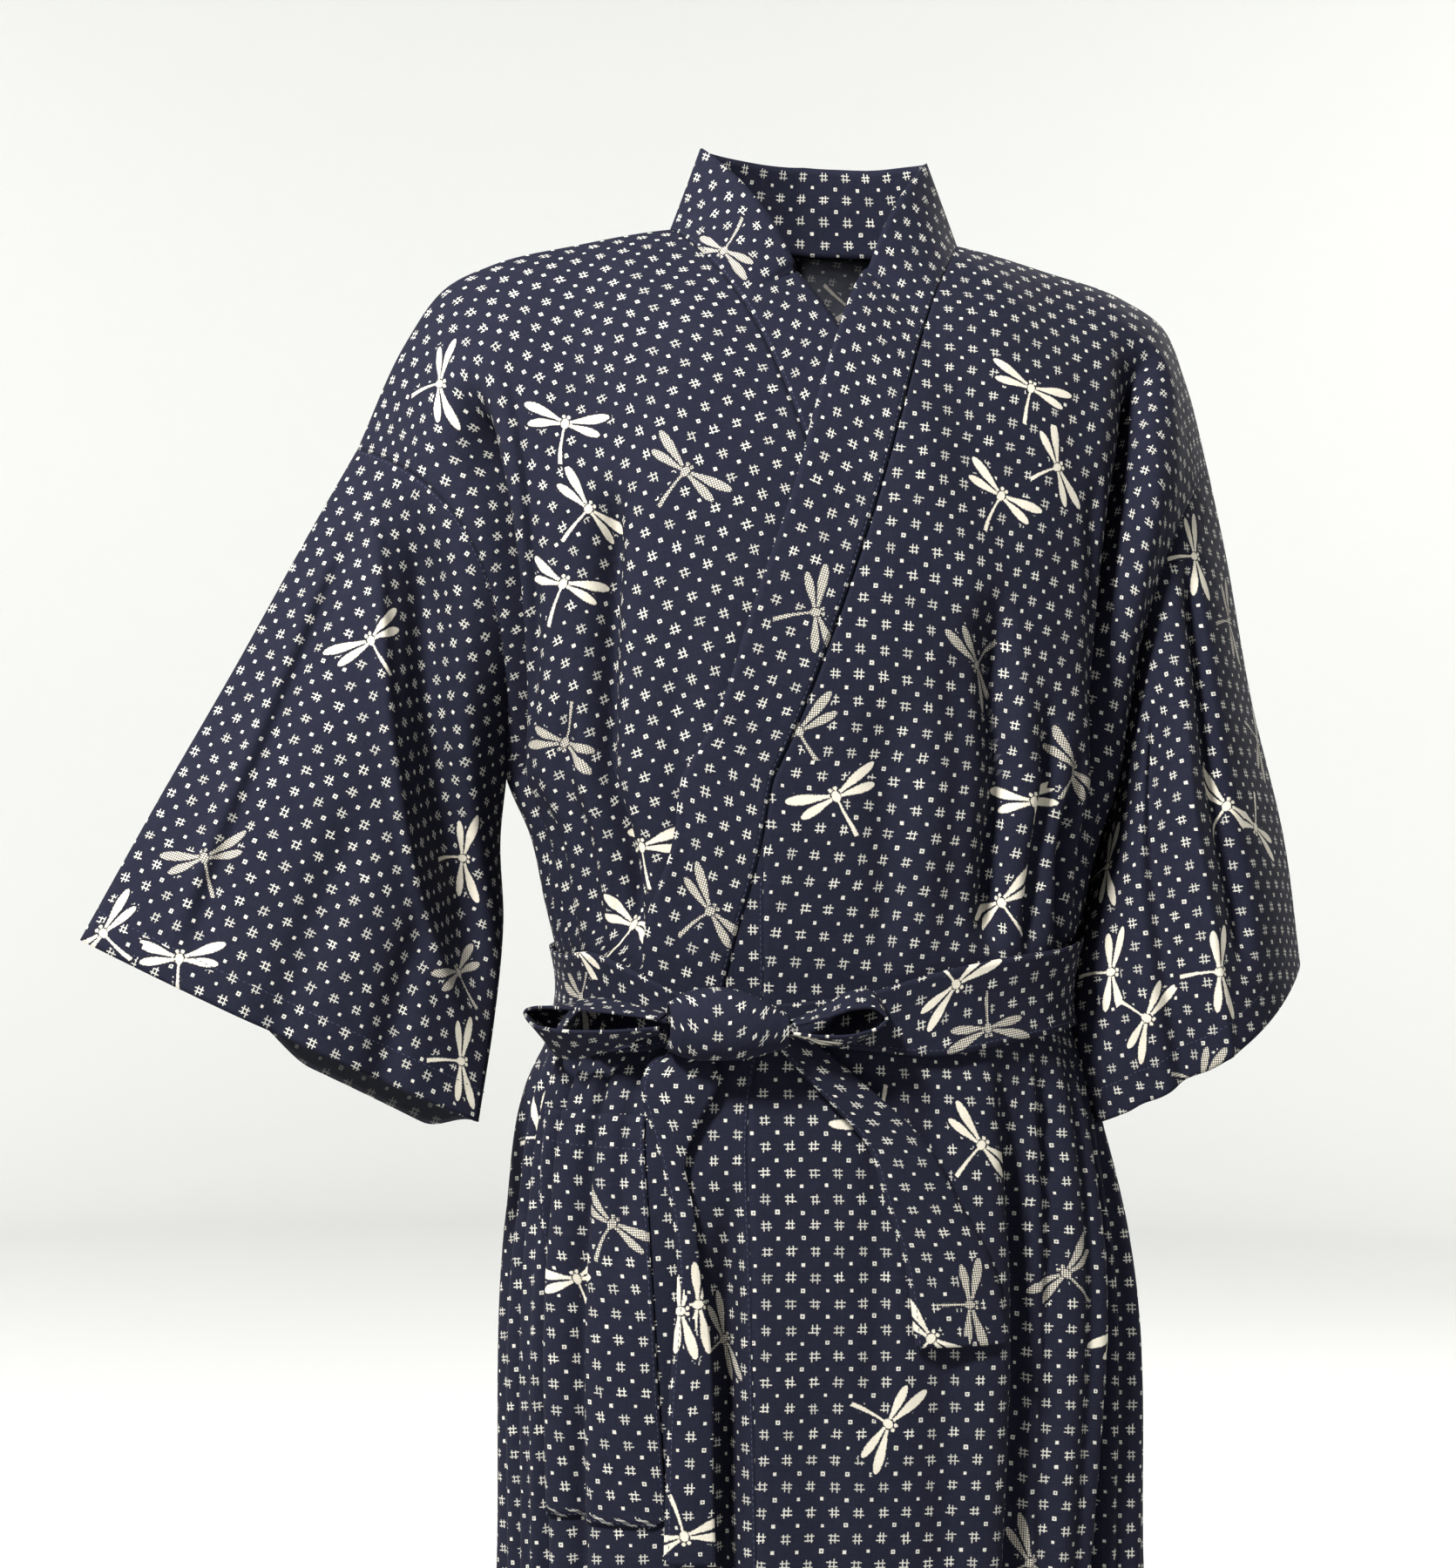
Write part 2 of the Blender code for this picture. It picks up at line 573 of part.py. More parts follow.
def collar_half(side: int) -> np.ndarray:
    """The middle of the collar band of one side, from its lower end to the centre of the nape."""
    over = side > 0
    w = np.linspace(0, 1, COLLAR_COLUMNS)
    low_v = np.array([x for x in (UPPER_V + LOWER_V) if x <= COLLAR_END][::-1])
    chest_v = low_v[low_v >= CHEST_V]
    edge = along(COLLAR_FRONT, chest_v)
    c = side * (seam_c(chest_v)[:, None] * (1 - w) + edge[:, 2, None] * w)
    v = chest_v[:, None] * (1 - w) + edge[:, 1, None] * w
    chest = cloth(c, v, over, COLLAR_OUT)
    neck_v = low_v[low_v < CHEST_V]
    nape_v = np.array([x for x in UPPER_V if 0 < x <= NECK_DIP])
    turn = np.arcsin(np.clip(nape_v / NECK_DIP, 0, 1)) / (math.pi / 2)
    away = np.concatenate([along(COLLAR_NECK, neck_v)[:, 1:], along(COLLAR_NAPE, turn)])
    seam = side * np.concatenate([seam_c(neck_v), back_c(nape_v)])
    base = cloth(seam, np.concatenate([neck_v, nape_v]), over, COLLAR_OUT * ease(0, 0.2, 0 * seam))
    stand = base[:, None] + w[None, :, None] * (away * (side, 1, 1))[:, None]
    return np.concatenate([chest, stand])


def collar_sheet() -> Sheet:
    """The whole collar band, from the lower end on the right front round the nape to the left front."""
    right, left = collar_half(-1), collar_half(1)
    return Sheet(np.concatenate([right, left[-2::-1]]))


def sleeve_sheet(side: int, rows: tuple, folds: tuple) -> Sheet:
    """A sleeve as a tube from the armhole to the cuff, each ring from the top fold down the front."""
    q = np.array(UPPER_V)
    front, back = q, q[-2:0:-1]
    share = np.concatenate([front, back])
    face = np.concatenate([-np.ones(len(front)), np.ones(len(back))])
    w = np.linspace(0, 1, SLEEVE_ROWS)[:, None]
    row = along(rows, w + 0 * share)
    top, bottom = row[..., 0:3], row[..., 3:6]
    swell = np.where(face < 0, row[..., 6], row[..., 7]) * armhole_swell(share)
    points = top + (bottom - top) * share[:, None]
    points[..., 1] += face * swell
    ring = form(side * (1 + face * BESIDE), share)
    points += ((1 - w) ** 2)[..., None] * (ring - points[0])
    for layer, start, stop, from_q, to_q, wide, deep in folds:
        at = from_q + (to_q - from_q) * (w - start) / (stop - start)
        across = np.exp(-(((share - at) / wide) ** 2)) * (face == layer)
        reach = ease(start, start + 0.2, w) * (1 - ease(stop - 0.2, stop, w)) * ease(0.0, 0.15, w)
        points[..., 1] -= face * deep * across * reach
    sheet = Sheet(points, closed=True)
    outward = np.einsum("ijk,ijk->ij", sheet.normals, points - points.mean(1, keepdims=True)).mean()
    sheet.normals *= np.sign(outward)
    return sheet


def pocket_sheet(body: Sheet) -> Sheet:
    """The patch pocket, made from the points of the right front moved out."""
    v = np.array([x for x in LOWER_V if POCKET[0][0] <= x <= POCKET[-1][0]])
    row = len(LOWER_V) - 1 - np.array([LOWER_V.index(x) for x in v])
    edges = along(POCKET, v)
    c = edges[:, :1] + (edges[:, 1:] - edges[:, :1]) * np.linspace(0, 1, POCKET_COLUMNS)
    inner = -front_c(v)[:, None]
    at = (inner - c) / (inner + 1) * (BODY_COLUMNS - 1)
    column = np.floor(at).astype(int)
    part = (at - column)[..., None]
    points = body.points[row[:, None], column] * (1 - part) + body.points[row[:, None], column + 1] * part
    normals = body.normals[row[:, None], column] * (1 - part) + body.normals[row[:, None], column + 1] * part
    normals /= np.linalg.norm(normals, axis=-1, keepdims=True)
    return Sheet(points + normals * (WALL / 2 + POCKET_GAP + POCKET_WALL / 2), normals)


def belt_sheet() -> Sheet:
    """The belt round the waist, open behind the knot."""
    c = np.linspace(BELT[0][0], BELT[-1][0], BELT_COLUMNS)
    row = along(BELT, c)
    w = np.linspace(0, 1, BELT_ROWS)[:, None]
    z = row[:, 0] * (1 - w) + row[:, 1] * w
    return Sheet(off_form(c + 0 * z, v_of(z), row[:, 2] + 0 * z))


def tail_sheet(rows: tuple, count: int) -> Sheet:
    """A free end of the belt that hangs down the front."""
    v = np.linspace(rows[0][0], rows[-1][0], count)[:, None]
    row = along(rows, v[:, 0])
    w = np.linspace(0, 1, TAIL_COLUMNS)
    c = row[:, :1] * (1 - w) + row[:, 1:2] * w
    out = row[:, 2:] + TAIL_BOW * (1 - (2 * w - 1) ** 2)
    return Sheet(off_form(c, v + 0 * c, out))


def loop_sheet(rows: tuple, knot_lift: float, far_lift: float, wide: float) -> Sheet:
    """A loop of the bow, a band bent round with its mouth to the front.

    Args:
        rows: the path round the loop.
        knot_lift: distance of the inner edge out from the form at the knot.
        far_lift: the same at the far end.
        wide: width of the band at the far end.

    Returns:
        The sheet, rows round the loop, columns from the inner edge to the mouth.
    """
    c, z = np.moveaxis(along(rows, np.linspace(0, 1, LOOP_ROWS)), -1, 0)
    near_c, far_c = c[0], c[np.argmax(np.abs(c - c[0]))]
    reach = (c - near_c) / (far_c - near_c)
    mid_z = (z[0] + z[-1]) / 2 * (1 - reach) + (z.max() + z.min()) / 2 * reach
    w = np.linspace(0, 1, LOOP_COLUMNS)
    mouth_z = z[:, None] + (mid_z - z)[:, None] * MOUTH_CLOSE * w
    mouth_c = c[:, None] + (near_c - c)[:, None] * MOUTH_SHORT * w
    inner = knot_lift + (far_lift - knot_lift) * ease(0, 0.6, reach)
    width = KNOT_BAND + (wide - KNOT_BAND) * ease(0, 0.6, reach)
    out = inner[:, None] + width[:, None] * w
    return Sheet(off_form(mouth_c, v_of(mouth_z), out))


def knot_solid(name: str) -> bpy.types.Object:
    """The wrap of the knot, rings along x with flat ends where the loops come out."""
    x = np.linspace(KNOT[0][0], KNOT[-1][0], KNOT_RINGS)
    mid_z, half_z, half_y = np.moveaxis(along(KNOT, x), -1, 0)
    turn = np.linspace(0, 2 * math.pi, KNOT_SIDES, endpoint=False)
    c = np.interp(x, (KNOT[0][0], KNOT[-1][0]), KNOT_ENDS_C)
    centre = off_form(c, v_of(mid_z), KNOT_LIFT + 0 * c)
    y = centre[:, 1, None] + half_y[:, None] * np.sin(turn)
    z = mid_z[:, None] + half_z[:, None] * np.cos(turn)
    points = np.stack([x[:, None] + 0 * y, y, z], -1)
    index = np.arange(points[..., 0].size).reshape(points.shape[:2])
    ring = np.concatenate([index, index[:, :1]], 1)
    quads = np.stack([ring[:-1, :-1], ring[1:, :-1], ring[1:, 1:], ring[:-1, 1:]], -1).reshape(-1, 4)
    faces = [tuple(q) for q in quads] + [tuple(index[0]), tuple(index[-1, ::-1])]
    return add_object(name, points.reshape(-1, 3), faces)


def share_normals(first: Sheet, at: tuple, second: Sheet, other: tuple) -> None:
    """Gives two edges that meet at a seam the same wall direction."""
    mean = first.normals[at] + second.normals[other]
    mean /= np.maximum(np.linalg.norm(mean, axis=-1, keepdims=True), 1e-12)
    first.normals[at] = mean
    second.normals[other] = mean


def join_seams(body: dict, okumi: dict, collar: Sheet, sleeves: dict) -> None:
    """Shares wall directions along every seam, then trims the edges so that the pieces part."""
    upper, lower = len(UPPER_V), len(LOWER_V)
    total = upper + lower
    last = 2 * total - 2
    collar_low = sum(x <= COLLAR_END for x in UPPER_V + LOWER_V)
    nape = sum(0 < x <= NECK_DIP for x in UPPER_V)
    half = collar_low + nape
    for side in (-1, 1):
        sheet, overlap = body[side], okumi[side]
        place = (lambda k: k) if side < 0 else (lambda k: 2 * half - 2 - k)
        okumi_rows = collar_low - upper - 1
        for k in range(okumi_rows):
            share_normals(collar, (place(k), 0), overlap, (okumi_rows - k, -1))
        for k in range(okumi_rows, half - (nape == 0)):
            share_normals(collar, (place(k), 0), sheet, (total - collar_low + k, 0))
        for k in range(1, lower):
            share_normals(sheet, (lower - 1 - k, 0), overlap, (k, 0))
            share_normals(sheet, (lower - 1 - k, -1), sheet, (last - lower + 1 + k, -1))
        ring = sleeves[side]
        for k in range(upper):
            share_normals(sheet, (total - 1 - k, -1), ring, (0, k))
        for k in range(1, upper - 1):
            share_normals(sheet, (total - 1 + k, -1), ring, (0, 2 * upper - 2 - k))
    for k in range(total - 1 + nape, last + 1):
        share_normals(body[-1], (k, 0), body[1], (k, 0))
    for side in (-1, 1):
        body[side].trim("first column")
        body[side].trim("last column")
        okumi[side].trim("first column")
        okumi[side].trim("last column")
        q = np.concatenate([UPPER_V, UPPER_V[-2:0:-1]])
        underarm = np.exp(-(((q - 1) / UNDERARM_REACH) ** 2))[:, None]
        sleeves[side].trim("first row", HALF_GAP + UNDERARM_GAP * underarm)
    collar.trim("first column")


def main() -> None:
    """Builds every piece."""
    for old in list(bpy.data.objects):
        bpy.data.objects.remove(old, do_unlink=True)
    body = {side: body_sheet(side) for side in (-1, 1)}
    okumi = {side: okumi_sheet(side) for side in (-1, 1)}
    collar = collar_sheet()
    sleeves = {
        -1: sleeve_sheet(-1, SLEEVE_RIGHT, SLEEVE_FOLDS_RIGHT),
        1: sleeve_sheet(1, SLEEVE_LEFT, SLEEVE_FOLDS_LEFT),
    }
    join_seams(body, okumi, collar, sleeves)
    for side, word in ((-1, "right"), (1, "left")):
        body[side].solid(f"body_{word}", WALL)
        okumi[side].solid(f"okumi_{word}", WALL)
        sleeves[side].solid(f"sleeve_{word}", WALL)
    collar.solid("collar", COLLAR_WALL)
    pocket_sheet(body[-1]).solid("pocket", POCKET_WALL)
    belt_sheet().solid("belt", BELT_WALL)
    knot_solid("belt_knot")
    loop_sheet(LOOP_RIGHT, 0.0205, 0.0100, 0.026).solid("bow_loop_right", BELT_WALL)
    loop_sheet(LOOP_LEFT, 0.0220, 0.0170, 0.022).solid("bow_loop_left", BELT_WALL)
    tail_sheet(TAIL_RIGHT, 18).solid("tail_right", BELT_WALL)
    tail_sheet(TAIL_LEFT, 14).solid("tail_left", BELT_WALL)


if __name__ == "__main__":
    main()
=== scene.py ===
"""Dresses a worn cotton kimono of yukata cut: folded cloth, its print, sewing, floor, lights and camera.

Metres, +Z up, the front faces -Y, the wearer's right is -X. Every panel is read from one worn form. A place
on it has two coordinates. c goes round the body: 0 centre front, 1 left side, 2 centre back, -1 right side.
v goes down it: 0 on the shoulder ridge, 1 at the underarm, 2 at the hem. A place on the cloth itself is
given as metres across and down, and its figures as a table of such places.
"""

import logging
import math
from dataclasses import dataclass
from enum import Enum

import bpy
import numpy as np
from mathutils import Matrix, Vector


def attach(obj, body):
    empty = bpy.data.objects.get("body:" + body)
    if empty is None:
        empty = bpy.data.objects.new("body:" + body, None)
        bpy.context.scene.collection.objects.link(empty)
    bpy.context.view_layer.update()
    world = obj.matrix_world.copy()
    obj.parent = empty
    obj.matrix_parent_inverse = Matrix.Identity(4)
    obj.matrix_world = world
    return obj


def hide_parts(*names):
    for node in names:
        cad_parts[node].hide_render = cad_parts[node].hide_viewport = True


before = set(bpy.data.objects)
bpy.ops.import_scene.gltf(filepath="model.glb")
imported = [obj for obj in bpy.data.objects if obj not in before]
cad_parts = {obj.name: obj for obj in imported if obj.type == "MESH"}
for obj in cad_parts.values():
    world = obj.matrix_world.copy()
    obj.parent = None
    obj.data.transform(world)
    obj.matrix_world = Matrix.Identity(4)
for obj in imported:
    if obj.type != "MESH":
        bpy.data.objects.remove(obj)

log = logging.getLogger("kimono")
Rows = tuple[tuple[float, ...], ...]
Place = np.ndarray | float
Colour = tuple[float, float, float]
Spot = tuple[float, float, float]
Grain = tuple[float, float]
Feeds = dict[str | int, object]

UNDERARM_Z = -0.345
HEM_Z = -1.360
BELT_Z = -0.490
CHEST_V = 0.30
OKUMI_TOP = 1.03
COLLAR_END = 1.20
NECK_C = 0.262
NECK_DIP = 0.17
NAPE_ROWS = 26
BESIDE = 1e-7
MM = 1000.0
FAR_MM = 200.0
FIGURE_REACH = 0.045
SLOPE_C = 0.008
SLOPE_V = 0.006

# steps, shifts and nearest distance in metres, turns in degrees of the dragonflies strewn by a rule
STREW_ACROSS = 0.125
STREW_DOWN = 0.135
STREW_SHIFT = (0.08, 0.09)
STREW_APART = 0.07
STREW_TURNS = (10, 30, 60, 90, 130, 200, 300, 335)
STREW_SWING = 8
NET_SHARE = 0.35


class Side(Enum):
    """The wearer's side, with the sign of its x."""

    RIGHT = -1
    LEFT = 1


class Figure(Enum):
    """How a dragonfly of the print is filled."""

    SOLID = 0.0
    NET = 1.0


# metres across and down the cloth, turn of the head in degrees from up towards the right, filling
Motif = tuple[float, float, float, Figure]


def along(rows: Rows, at: Place) -> np.ndarray:
    """Smooth curve through the rows of a table.

    Args:
        rows: rows of numbers, the first column rising or falling.
        at: values of the first column to read the others at.

    Returns:
        The other columns, one row for each value.
    """
    table = np.asarray(rows, float)
    if table[0, 0] > table[-1, 0]:
        table = table[::-1]
    x, y = table[:, 0], table[:, 1:]
    slope = np.gradient(y, x, axis=0)
    at = np.clip(np.asarray(at, float), x[0], x[-1])
    i = np.clip(np.searchsorted(x, at, side="right") - 1, 0, len(x) - 2)
    h = (x[i + 1] - x[i])[..., None]
    t = (at - x[i])[..., None] / h
    return (
        y[i] * (1 + 2 * t) * (1 - t) ** 2
        + y[i + 1] * t * t * (3 - 2 * t)
        + slope[i] * h * t * (1 - t) ** 2
        - slope[i + 1] * h * t * t * (1 - t)
    )


def ease(low: float, high: float, at: Place) -> np.ndarray:
    """Soft step from 0 at low to 1 at high."""
    t = np.clip((np.asarray(at, float) - low) / (high - low), 0, 1)
    return t * t * (3 - 2 * t)


def unit(vectors: np.ndarray) -> np.ndarray:
    """The vectors at length 1."""
    return vectors / np.maximum(np.linalg.norm(vectors, axis=-1, keepdims=True), 1e-12)


def v_of(z: Place) -> np.ndarray:
    """The v coordinate of a height below the underarm."""
    return 1 + (UNDERARM_Z - np.asarray(z, float)) / (UNDERARM_Z - HEM_Z)


def z_of(v: Place) -> np.ndarray:
    """The height of a v coordinate below the underarm."""
    return UNDERARM_Z + (np.asarray(v, float) - 1) * (HEM_Z - UNDERARM_Z)


def armhole_swell(q: Place) -> np.ndarray:
    """Swell of an armhole or cuff at a share of the way from its top fold to its bottom fold."""
    return np.sin(math.pi * np.clip(q, 0, 1)) ** 0.85


def side_share(c: Place) -> np.ndarray:
    """Share of the way from the centre front or centre back to the side, for a c coordinate."""
    return 1 - np.abs(1 - np.abs(c))


def rotate(plane: np.ndarray, cos: Place, sin: Place) -> np.ndarray:
    """Vectors in a plane, turned by the angle that has this cosine and sine."""
    x, y = plane[..., 0], plane[..., 1]
    return np.stack([x * cos - y * sin, x * sin + y * cos], -1)


def spread(at: np.ndarray | list[float], known: np.ndarray, values: np.ndarray) -> np.ndarray:
    """Reads vectors row by row between the places where they are known.

    Args:
        at: for each row the places, or the one place, to read at.
        known: rows of places, rising.
        values: rows of vectors at the known places.

    Returns:
        The vectors read, row by row.
    """
    rows = list(zip(at, known, values))
    return np.stack([[np.interp(a, k, v[:, d]) for a, k, v in rows] for d in range(values.shape[-1])], -1)


@dataclass(frozen=True)
class WornForm:
    """The shape of the worn cloth and its folds.

    Columns of sections: z, right half width, left half width, front depth, back depth. Columns of ridge:
    share of the cloth from centre to armhole, right x, left x, y, right z, left z. Columns of both tables
    of folds: top c, top v, middle c, middle v, bottom c, bottom v, right width, left width, depth. The
    depths of the fine folds are multiplied by fine_depth, and the belt flattens all folds under it.
    """

    sections: Rows = (
        (-0.300, 0.194, 0.196, 0.130, 0.122),
        (-0.345, 0.194, 0.196, 0.130, 0.122),
        (-0.385, 0.178, 0.183, 0.129, 0.118),
        (-0.420, 0.170, 0.175, 0.126, 0.112),
        (-0.492, 0.158, 0.164, 0.120, 0.102),
        (-0.540, 0.180, 0.184, 0.124, 0.110),
        (-0.620, 0.192, 0.207, 0.130, 0.122),
        (-0.850, 0.195, 0.221, 0.137, 0.132),
        (-1.100, 0.202, 0.228, 0.141, 0.137),
        (-1.360, 0.210, 0.233, 0.145, 0.141),
    )
    ridge: Rows = (
        (0.00, 0.000, 0.000, 0.026, 0.008, 0.008),
        (0.27, 0.095, 0.095, 0.004, 0.000, -0.003),
        (0.45, 0.152, 0.152, 0.004, -0.012, -0.017),
        (0.62, 0.206, 0.204, 0.004, -0.027, -0.033),
        (0.73, 0.237, 0.232, 0.003, -0.045, -0.052),
        (0.83, 0.259, 0.246, 0.002, -0.078, -0.085),
        (1.00, 0.288, 0.262, 0.000, -0.145, -0.145),
    )
    folds: Rows = (
        (-0.84, 0.24, -0.88, 0.60, -0.88, 1.06, 0.085, 0.046, 0.031),
        (0.70, 0.16, 0.66, 0.60, 0.62, 1.08, 0.070, 0.080, 0.023),
        (-0.44, 0.62, -0.47, 0.88, -0.475, 1.14, 0.060, 0.032, 0.012),
        (-0.60, 0.90, -0.62, 1.05, -0.64, 1.16, 0.040, 0.050, 0.007),
        (0.05, 0.90, 0.06, 1.03, 0.072, 1.13, 0.036, 0.036, 0.005),
        (0.25, 0.78, 0.275, 0.98, 0.310, 1.13, 0.070, 0.030, 0.013),
        (0.38, 0.92, 0.385, 1.04, 0.410, 1.13, 0.035, 0.040, 0.007),
        (0.47, 1.00, 0.490, 1.06, 0.560, 1.13, 0.030, 0.045, 0.008),
        (0.320, 1.14, 0.275, 1.45, 0.250, 2.20, 0.028, 0.085, 0.016),
        (0.440, 1.14, 0.360, 1.32, 0.340, 1.75, 0.028, 0.055, 0.010),
        (0.660, 1.14, 0.500, 1.46, 0.460, 2.20, 0.030, 0.080, 0.015),
        (0.840, 1.14, 0.740, 1.50, 0.700, 2.20, 0.045, 0.065, 0.013),
        (-0.205, 1.22, -0.200, 1.45, -0.190, 2.20, 0.055, 0.028, 0.013),
        (0.052, 1.16, 0.045, 1.28, 0.040, 1.40, 0.024, 0.024, 0.003),
        (-0.555, 1.14, -0.540, 1.26, -0.530, 1.75, 0.050, 0.032, 0.007),
        (-0.710, 1.14, -0.690, 1.30, -0.670, 2.20, 0.050, 0.036, 0.010),
        (-0.860, 1.14, -0.850, 1.34, -0.860, 2.20, 0.045, 0.045, 0.011),
        (-1.10, 1.13, -1.14, 1.50, -1.16, 2.20, 0.060, 0.060, 0.013),
        (-1.32, 1.13, -1.34, 1.55, -1.33, 2.20, 0.060, 0.070, 0.014),
        (-1.58, 1.13, -1.60, 1.60, -1.60, 2.20, 0.070, 0.060, 0.011),
        (-1.80, 1.13, -1.82, 1.50, -1.84, 2.20, 0.060, 0.070, 0.012),
        (1.06, 1.13, 1.08, 1.50, 1.10, 2.20, 0.060, 0.060, 0.014),
        (1.27, 1.13, 1.31, 1.55, 1.33, 2.20, 0.070, 0.060, 0.012),
        (1.52, 1.13, 1.54, 1.60, 1.56, 2.20, 0.060, 0.070, 0.013),
        (1.76, 1.13, 1.78, 1.50, 1.80, 2.20, 0.060, 0.060, 0.011),
        (-1.20, 0.80, -1.22, 1.00, -1.24, 1.14, 0.060, 0.060, 0.010),
        (-1.48, 0.70, -1.50, 0.95, -1.50, 1.14, 0.060, 0.060, 0.009),
        (-1.74, 0.80, -1.74, 1.00, -1.75, 1.14, 0.060, 0.060, 0.008),
        (1.18, 0.80, 1.20, 1.00, 1.22, 1.14, 0.060, 0.060, 0.010),
        (1.44, 0.70, 1.45, 0.95, 1.46, 1.14, 0.060, 0.060, 0.009),
        (1.70, 0.80, 1.70, 1.00, 1.70, 1.14, 0.060, 0.060, 0.008),
        (-1.13, 0.18, -1.10, 0.55, -1.08, 1.02, 0.060, 0.070, 0.019),
        (1.13, 0.18, 1.10, 0.55, 1.08, 1.02, 0.070, 0.060, 0.019),
    )
    fine_folds: Rows = (
        (-0.845, 0.24, -0.890, 0.60, -0.890, 1.08, 0.045, 0.024, 0.0130),
        (0.715, 0.16, 0.665, 0.60, 0.625, 1.10, 0.030, 0.040, 0.0110),
        (-0.445, 0.62, -0.475, 0.88, -0.480, 1.13, 0.030, 0.018, 0.0075),
        (0.255, 0.78, 0.278, 0.98, 0.312, 1.12, 0.035, 0.017, 0.0085),
        (0.383, 0.90, 0.388, 1.03, 0.412, 1.12, 0.020, 0.022, 0.0050),
        (0.474, 0.96, 0.492, 1.05, 0.560, 1.12, 0.020, 0.024, 0.0060),
        (0.318, 1.14, 0.272, 1.45, 0.247, 2.20, 0.016, 0.045, 0.0090),
        (0.436, 1.14, 0.357, 1.32, 0.337, 1.75, 0.016, 0.030, 0.0060),
        (0.657, 1.14, 0.497, 1.46, 0.457, 2.20, 0.017, 0.042, 0.0090),
        (0.836, 1.14, 0.737, 1.50, 0.697, 2.20, 0.022, 0.035, 0.0080),
        (-0.201, 1.22, -0.196, 1.45, -0.186, 2.20, 0.030, 0.016, 0.0070),
        (-0.552, 1.14, -0.537, 1.26, -0.527, 1.75, 0.026, 0.018, 0.0050),
        (-0.706, 1.14, -0.686, 1.30, -0.666, 2.20, 0.026, 0.020, 0.0070),
        (-0.856, 1.14, -0.846, 1.34, -0.856, 2.20, 0.024, 0.024, 0.0070),
        (-0.70, 0.30, -0.72, 0.60, -0.76, 0.95, 0.030, 0.040, 0.0040),
        (-0.30, 0.86, -0.31, 1.00, -0.33, 1.12, 0.030, 0.030, 0.0025),
        (-0.74, 1.00, -0.75, 1.07, -0.76, 1.13, 0.025, 0.025, 0.0045),
        (-0.82, 0.98, -0.83, 1.06, -0.84, 1.13, 0.022, 0.025, 0.0050),
        (-0.92, 0.98, -0.92, 1.06, -0.92, 1.13, 0.022, 0.025, 0.0050),
        (-0.53, 1.02, -0.54, 1.08, -0.55, 1.13, 0.022, 0.022, 0.0030),
        (0.16, 0.84, 0.18, 1.00, 0.20, 1.12, 0.030, 0.030, 0.0030),
        (0.32, 0.94, 0.33, 1.04, 0.35, 1.12, 0.022, 0.022, 0.0030),
        (0.72, 1.00, 0.73, 1.06, 0.74, 1.13, 0.024, 0.024, 0.0045),
        (0.82, 0.98, 0.82, 1.05, 0.83, 1.13, 0.024, 0.024, 0.0045),
        (0.92, 0.98, 0.92, 1.05, 0.92, 1.13, 0.024, 0.024, 0.0045),
        (0.54, 0.55, 0.53, 0.72, 0.54, 0.95, 0.040, 0.030, 0.0035),
        (0.14, 1.15, 0.15, 1.30, 0.15, 1.60, 0.035, 0.030, 0.0030),
        (0.380, 1.14, 0.320, 1.30, 0.300, 1.60, 0.022, 0.030, 0.0040),
        (0.560, 1.14, 0.440, 1.40, 0.410, 1.80, 0.024, 0.030, 0.0050),
        (0.760, 1.14, 0.620, 1.40, 0.580, 1.90, 0.024, 0.035, 0.0060),
        (0.920, 1.14, 0.860, 1.45, 0.820, 2.00, 0.028, 0.035, 0.0060),
        (-0.44, 1.14, -0.43, 1.20, -0.42, 1.30, 0.024, 0.024, 0.0030),
        (-0.64, 1.14, -0.62, 1.18, -0.61, 1.22, 0.020, 0.024, 0.0040),
        (-0.78, 1.14, -0.77, 1.28, -0.76, 1.80, 0.024, 0.028, 0.0050),
        (-0.94, 1.14, -0.94, 1.30, -0.95, 1.90, 0.026, 0.026, 0.0055),
        (-0.05, 1.30, -0.04, 1.55, -0.03, 2.05, 0.050, 0.040, 0.0030),
        (-1.22, 1.14, -1.24, 1.35, -1.25, 1.80, 0.028, 0.028, 0.0050),
        (-1.45, 1.14, -1.47, 1.35, -1.48, 1.75, 0.028, 0.028, 0.0045),
        (-1.70, 1.14, -1.71, 1.40, -1.72, 1.85, 0.028, 0.028, 0.0045),
        (1.16, 1.14, 1.19, 1.40, 1.21, 1.85, 0.028, 0.028, 0.0050),
        (1.40, 1.14, 1.42, 1.35, 1.44, 1.80, 0.028, 0.028, 0.0045),
        (1.64, 1.14, 1.66, 1.40, 1.68, 1.85, 0.028, 0.028, 0.0045),
        (1.88, 1.14, 1.89, 1.35, 1.90, 1.70, 0.028, 0.028, 0.0035),
        (-1.34, 0.88, -1.36, 1.02, -1.37, 1.13, 0.028, 0.028, 0.0045),
        (-1.62, 0.88, -1.62, 1.02, -1.62, 1.13, 0.028, 0.028, 0.0040),
        (1.32, 0.88, 1.33, 1.02, 1.34, 1.13, 0.028, 0.028, 0.0045),
        (1.58, 0.88, 1.58, 1.02, 1.58, 1.13, 0.028, 0.028, 0.0040),
    )
    fine_depth: float = 1.3
    square: float = 0.045
    even_drop: float = 0.35
    shoulder_curve: float = 2.3
    arm_swell: float = 0.058
    belt_squeeze: float = 0.85
    belt_middle: float = -0.480
    belt_reach: float = 0.042
    overlap_lift: float = 0.0074
    step: float = 0.004
    ripple: float = 0.0006

